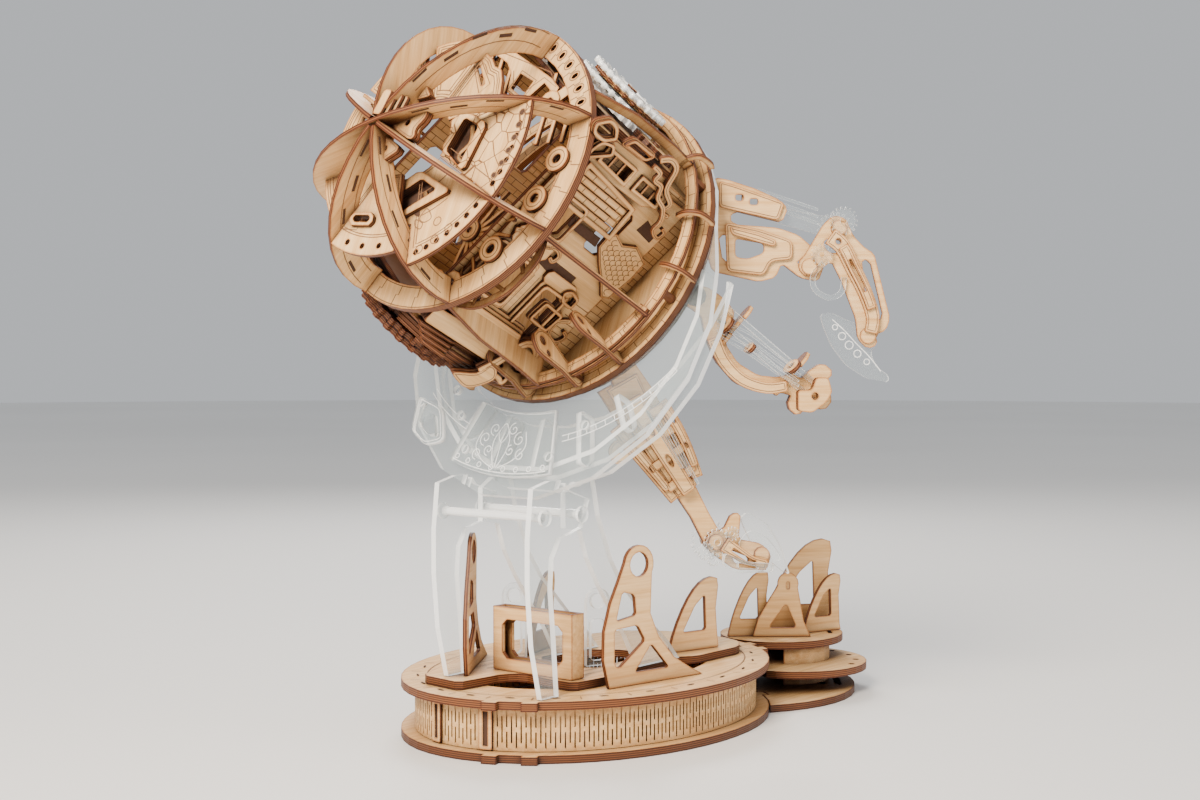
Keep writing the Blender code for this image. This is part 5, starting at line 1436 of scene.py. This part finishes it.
high = softened([(6, 11.3), (14, 9), (38, 0.6), (35, -8), (6, -1.5)], 2)
cheek("upper_cheek_high", high, UPPER_ARM, ARM_TOP, "upper_arm",
      [softened(box(14, 1.5, 18, 4.5), 1), softened(box(21, -0.5, 25, 2.5), 1)])
low = softened([(9, -9), (26, -12.5), (42, -18), (42, -27), (31.5, -28), (28, -35), (10, -33)], 2.5)
cheek("upper_cheek_low", low, UPPER_ARM, ARM_TOP, "upper_arm",
      [softened([(14, -17), (28, -19.5), (28, -24), (20, -27), (14, -26)], 2)])
cap = softened([(11, -11), (25, -14.5), (34, -18), (33, -21), (12, -15)], 1.5)
cheek("upper_cheek_cap", cap, UPPER_ARM, ARM_TOP + CHEEK_STEP, "upper_arm")
for k in range(3):
    clear("upper_bridge_%d" % k, [band([(26, 8 - 3 * k), (56, -2 - 3.4 * k)], 1.4)],
          lifted(UPPER_ARM, -7 - 0.2 * k), "upper_arm", thick=1.4)
fore = smooth([(60, -16), (66, -21), (71, -31), (77, -43), (81, -55), (80, -63)], 3)
cheek("upper_fore_cheek", band(fore, 8.5, 6), UPPER_ARM, FORE_TOP, "upper_forearm",
      [band(fore[5:12], 2.4), oval(64, -18.5, 1.5, steps=10)])
cheek("upper_fore_cap", band(fore[3:12], 5.0, 4.5), UPPER_ARM, FORE_TOP + CHEEK_STEP,
      "upper_forearm", [band(fore[5:10], 1.6)])
small_cog("upper_elbow_cog", 66.5, -8.5, 18, 5.6, FORE_TOP + 1.2, 1.4, 1.6, UPPER_ARM,
          "upper_forearm")
small_cog("upper_washer_a", 56, -25, 14, 4.3, FORE_TOP + 1.2, 1.1, 1.5, UPPER_ARM,
          "upper_forearm")
d_loop = smooth([(57, -29), (52, -35), (53, -42), (60, -46), (66, -43), (67, -36)])
clear("upper_d_loop", [band(d_loop, 2.6)], lifted(UPPER_ARM, FORE_TOP - 0.4), "upper_forearm",
      thick=2.4)
CLAW_RINGS = ((63.3, -60.3, 1.3), (66.8, -64.7, 1.8), (70.3, -69.1, 2.0), (74.4, -73.3, 1.8),
              (79, -77.3, 1.4))
claw_marks = [round_line(x, y, r, steps=12) for x, y, r in CLAW_RINGS]
claw_marks.append(smooth([(62, -56.5), (68, -62), (74, -68.5), (80, -74.5), (86, -82)]))
engrave("upper_claw_marks", claw_marks, lifted(UPPER_ARM, 2.06), "upper_claw", ink=FROST,
        width=FROST_W)

# %% [markdown]
# The lower tentacle is the thickest one: five layers of ply with oval holes, a row of clear
# gears near its elbow and a slotted bracket at its root.

# %% The lower tentacle
lower_line = smooth([(3, -12), (13, -30), (25, -49), (36, -66)])
left_line = smooth([(0, -34), (9, -45), (20, -58), (30, -70)])
right_line = smooth([(22, -22), (30, -34), (36, -46), (41, -59)])
cheek("lower_cheek_a", band(lower_line, 17, 12), LOWER_ARM, ARM_TOP, "lower_arm",
      [oval(12, -28, 3.4, 2.0, steps=14, turn=-58), oval(21, -43, 3.4, 2.0, steps=14, turn=-58),
       oval(30, -57, 3.0, 1.8, steps=14, turn=-58)])
cheek("lower_cheek_b", band(lower_line[2:], 9, 7), LOWER_ARM, ARM_TOP + 2 * CHEEK_STEP, "lower_arm",
      [oval(16.5, -35.5, 3.6, 1.3, steps=14, turn=-58),
       oval(26, -50.5, 3.6, 1.3, steps=14, turn=-58)])
for name, line, height in (("left", left_line, ARM_TOP), ("right", right_line, ARM_TOP + 1.15)):
    holes = [oval(*line[k], 2.6, 1.2, steps=12, turn=-52) for k in (3, 6, 9)]
    cheek("lower_rail_%s" % name, band(line, 7.0, 5.5), LOWER_ARM, height, "lower_arm", holes)
    holes = [oval(*line[k], 1.8, 0.8, steps=12, turn=-52) for k in (3, 7)]
    cheek("lower_rail_%s_cap" % name, band(line[1:11], 4.4, 3.6), LOWER_ARM, height + CHEEK_STEP,
          "lower_arm", holes)
for k, i in enumerate((1, 4, 7, 10)):
    birch("lower_bridge_%d" % k, [band([left_line[i], right_line[i]], 4.2)],
          lifted(LOWER_ARM, ARM_TOP + 2.9), "lower_arm", CHEEK_T)
for ply in range(2):
    cheek("lower_back_%d" % ply, band(lower_line[:11], 22, 15), LOWER_ARM, -7.4 - PLY_STEP * ply,
          "lower_arm", ink=False)
for k in range(3):
    ends = [(14 + 5 * k, -26 - 3 * k), (32 + 4 * k, -54 - 4 * k)]
    clear("lower_link_strip_%d" % k, [band(ends, 1.4)],
          lifted(LOWER_ARM, ARM_TOP + 6.7 + 0.1 * k), "lower_arm", thick=1.4)
root = smooth([(-3, -46), (0, -41), (7, -40), (10, -46), (6, -51), (0, -52)], 3, whole=True)
cheek("lower_root_bracket", root, LOWER_ARM, -0.95, "lower_arm",
      [oval(3.5, -46, 2.4, 1.2, steps=12, turn=-40)])
lower_fore = smooth([(54, -92), (60, -96), (68, -101), (76, -103)])
cheek("lower_fore_cheek", band(lower_fore, 7.5, 5), LOWER_ARM, FORE_TOP, "lower_forearm",
      [band(lower_fore[3:10], 2.0)])
small_cog("lower_fore_cog", 50.5, -91.2, 16, 5.6, FORE_TOP + 1.2, 1.4, 1.6, LOWER_ARM,
          "lower_forearm")
for k, (x, y, r) in enumerate(((44.5, -95.5, 3.4), (58, -87, 2.8), (48.5, -99.5, 2.4))):
    small_cog("lower_fore_washer_%d" % k, x, y, 12, r, FORE_TOP + 1.2 + 0.1 * k, 0.9, 1.1,
              LOWER_ARM, "lower_forearm")
BLOCK = [(53, -96), (66, -101), (78, -102), (78, -106), (60, -106), (52, -102)]
BLOCK_SLOT = [(60, -101), (70, -103.2), (70, -104.4), (60, -103.6)]
for ply in range(2):
    clear("lower_fore_block_%d" % ply, [softened(BLOCK, 2), softened(BLOCK_SLOT, 0.5)],
          lifted(LOWER_ARM, FORE_TOP + 3.3 + 2.3 * ply), "lower_forearm", thick=2)
FIN = [(62, -92), (68, -86), (77, -90), (84, -101), (74, -99), (66, -97)]
clear("lower_fore_fin", [smooth(FIN, 3, whole=True)], lifted(LOWER_ARM, FORE_TOP - 0.6),
      "lower_forearm", thick=2)

# %% [markdown]
# The middle tentacle is a bundle of thin clear strips beside a curved ply arm. Oval fins
# stand across it: each lies in a plane of its own, turned from the arm's plane by a quarter
# turn, so it is cut about its own centre. Its head is a flat plate of two plies.

# %% The middle tentacle
M_TOP = 5.35
for k in range(4):
    strip = smooth([(10, -12 - 2.2 * k), (24, -17 - 3.2 * k), (38, -27 - 3.0 * k),
                    (50, -36 - 2.4 * k)], 3)
    clear("middle_strip_%d" % k, [band(strip, 1.2)], lifted(MIDDLE_ARM, M_TOP + 0.8), "middle_arm",
          thick=1.5)
c_arm = smooth([(8, -20), (13, -31), (22, -40), (34, -44), (44, -43)])
cheek("middle_c_arm", band(c_arm, 6.5, 5), MIDDLE_ARM, M_TOP, "middle_arm")
arm_x, arm_y, arm_z = MIDDLE_ARM.to_3x3().transposed()
for k, (x, y, lean, size) in enumerate(((15, -14, -35, 11), (48, -34, -40, 10), (27, -25, -38, 7))):
    a = radians(lean)
    across = arm_y * cos(a) - arm_x * sin(a)
    centre = MIDDLE_ARM @ Vector((x * MM, y * MM, 2 * MM))
    birch("middle_fin_%d" % k, [oval(0, 0, size, size * 0.42, steps=20),
                                oval(0, 0, size * 0.35, size * 0.16, steps=10)],
          plane(centre, arm_z, across), "middle_arm")
HEAD = [(49, -45), (56, -45), (58, -39), (64, -39), (66, -46), (63, -51), (56, -56), (49, -55)]
for ply in range(2):
    birch("middle_head_%d" % ply, [softened(HEAD, 1.6), oval(57.5, -48, 1.8, steps=10)],
          lifted(MIDDLE_ARM, M_TOP + 0.9 + 2.0 * ply), "middle_arm", thick=CHEEK_T)

# %% [markdown]
# ## The drum and the seabed
#
# The base keeps its plain solids and gets what the laser added: joint lines and slots in
# the top ring, the slots as black sheets of painted shade, and boards on the deck.

# %% Lines and small parts of the base
RING_FACE = RING_TOP + LINE_LIFT
DECK_FACE = DECK_TOP + LINE_LIFT


def drum_point(inset, turn, share=1.0):
    """A point on an oval some millimetres inside the wall's, scaled about its centre."""
    return ((WALL_A - inset) * cos(radians(turn)) * share,
            WALL_SHIFT_Y + (WALL_B - inset) * sin(radians(turn)) * share)


ring_strokes = [[drum_point(5, a, 1.03), drum_point(0, a, 1.03)] for a in range(0, 360, 15)]
ring_strokes += [round_line(0, WALL_SHIFT_Y, WALL_A - 6, WALL_B - 6, steps=72)]
engrave("top_ring_lines", ring_strokes, level(RING_FACE))
# The slots of the top ring are black sheets of painted shade.
for k, a in enumerate(range(7, 367, 15)):
    slot = oval(*drum_point(1.5, a), 2.6, 0.6, steps=8, turn=a + 90)
    dark_spot("top_ring_slot_%02d" % k, slot, level(RING_FACE), 0.04)
engrave("deck_lines", [[(-62, y), (10, y)] for y in range(-20, 45, 7)], level(DECK_FACE))
print("ring slots placed:", k + 1)

# %% [markdown]
# The wall is made of several strips. Where two of them meet, a narrow upright panel with a
# slot holds their ends together, and a black sheet of painted shade lies behind the slot. Each
# panel stands at right angles to the oval's normal.

# %% Where the wall's strips meet
JOINT_TURNS = (172, 194, 330, 60, 120)
PANEL = softened(box(-3.4, -9.9, 3.4, 9.9), 0.8)
PANEL_SLOT = box(-1.3, -8.2, 1.3, 8.2)
for k, turn in enumerate(JOINT_TURNS):
    t = radians(turn)
    out = Vector((cos(t) / WALL_A, sin(t) / WALL_B, 0)).normalized()
    spot = Vector((*drum_point(0, turn), WALL_MIDDLE)) * MM + out * 0.75 * MM
    joint = plane(spot, (-out.y, out.x, 0), (0, 0, 1))
    birch("wall_joint_%d" % k, [PANEL, PANEL_SLOT], joint, thick=1.4)
    dark_spot("wall_joint_dark_%d" % k, PANEL_SLOT, lifted(joint, -0.55), 0.2)
print("wall joints:", len(JOINT_TURNS))

# %% [markdown]
# ## Floor
#
# A plain pale floor, so large that its edge meets the pale room.

# %% The floor
FLOOR_R = 6.0


def pale_floor():
    work = bmesh.new()
    bmesh.ops.create_circle(work, cap_ends=True, segments=96, radius=FLOOR_R)
    data = bpy.data.meshes.new("floor")
    work.to_mesh(data)
    work.free()
    made, net, shader = finish("pale_floor")
    where = step(net, "TexCoord", out=3)
    cloud = step(net, "TexNoise", where, None, 1.2, 2.0, 0.5)
    net.links.new(ramp(net, cloud, (0.3, (0.80, 0.79, 0.77)), (0.7, (0.84, 0.83, 0.81))),
                  shader.inputs["Base Color"])
    shader.inputs["Roughness"].default_value = 0.6
    data.materials.append(made)
    floor = bpy.data.objects.new("floor", data)
    bpy.context.scene.collection.objects.link(floor)


pale_floor()
print("floor radius:", FLOOR_R, "m")
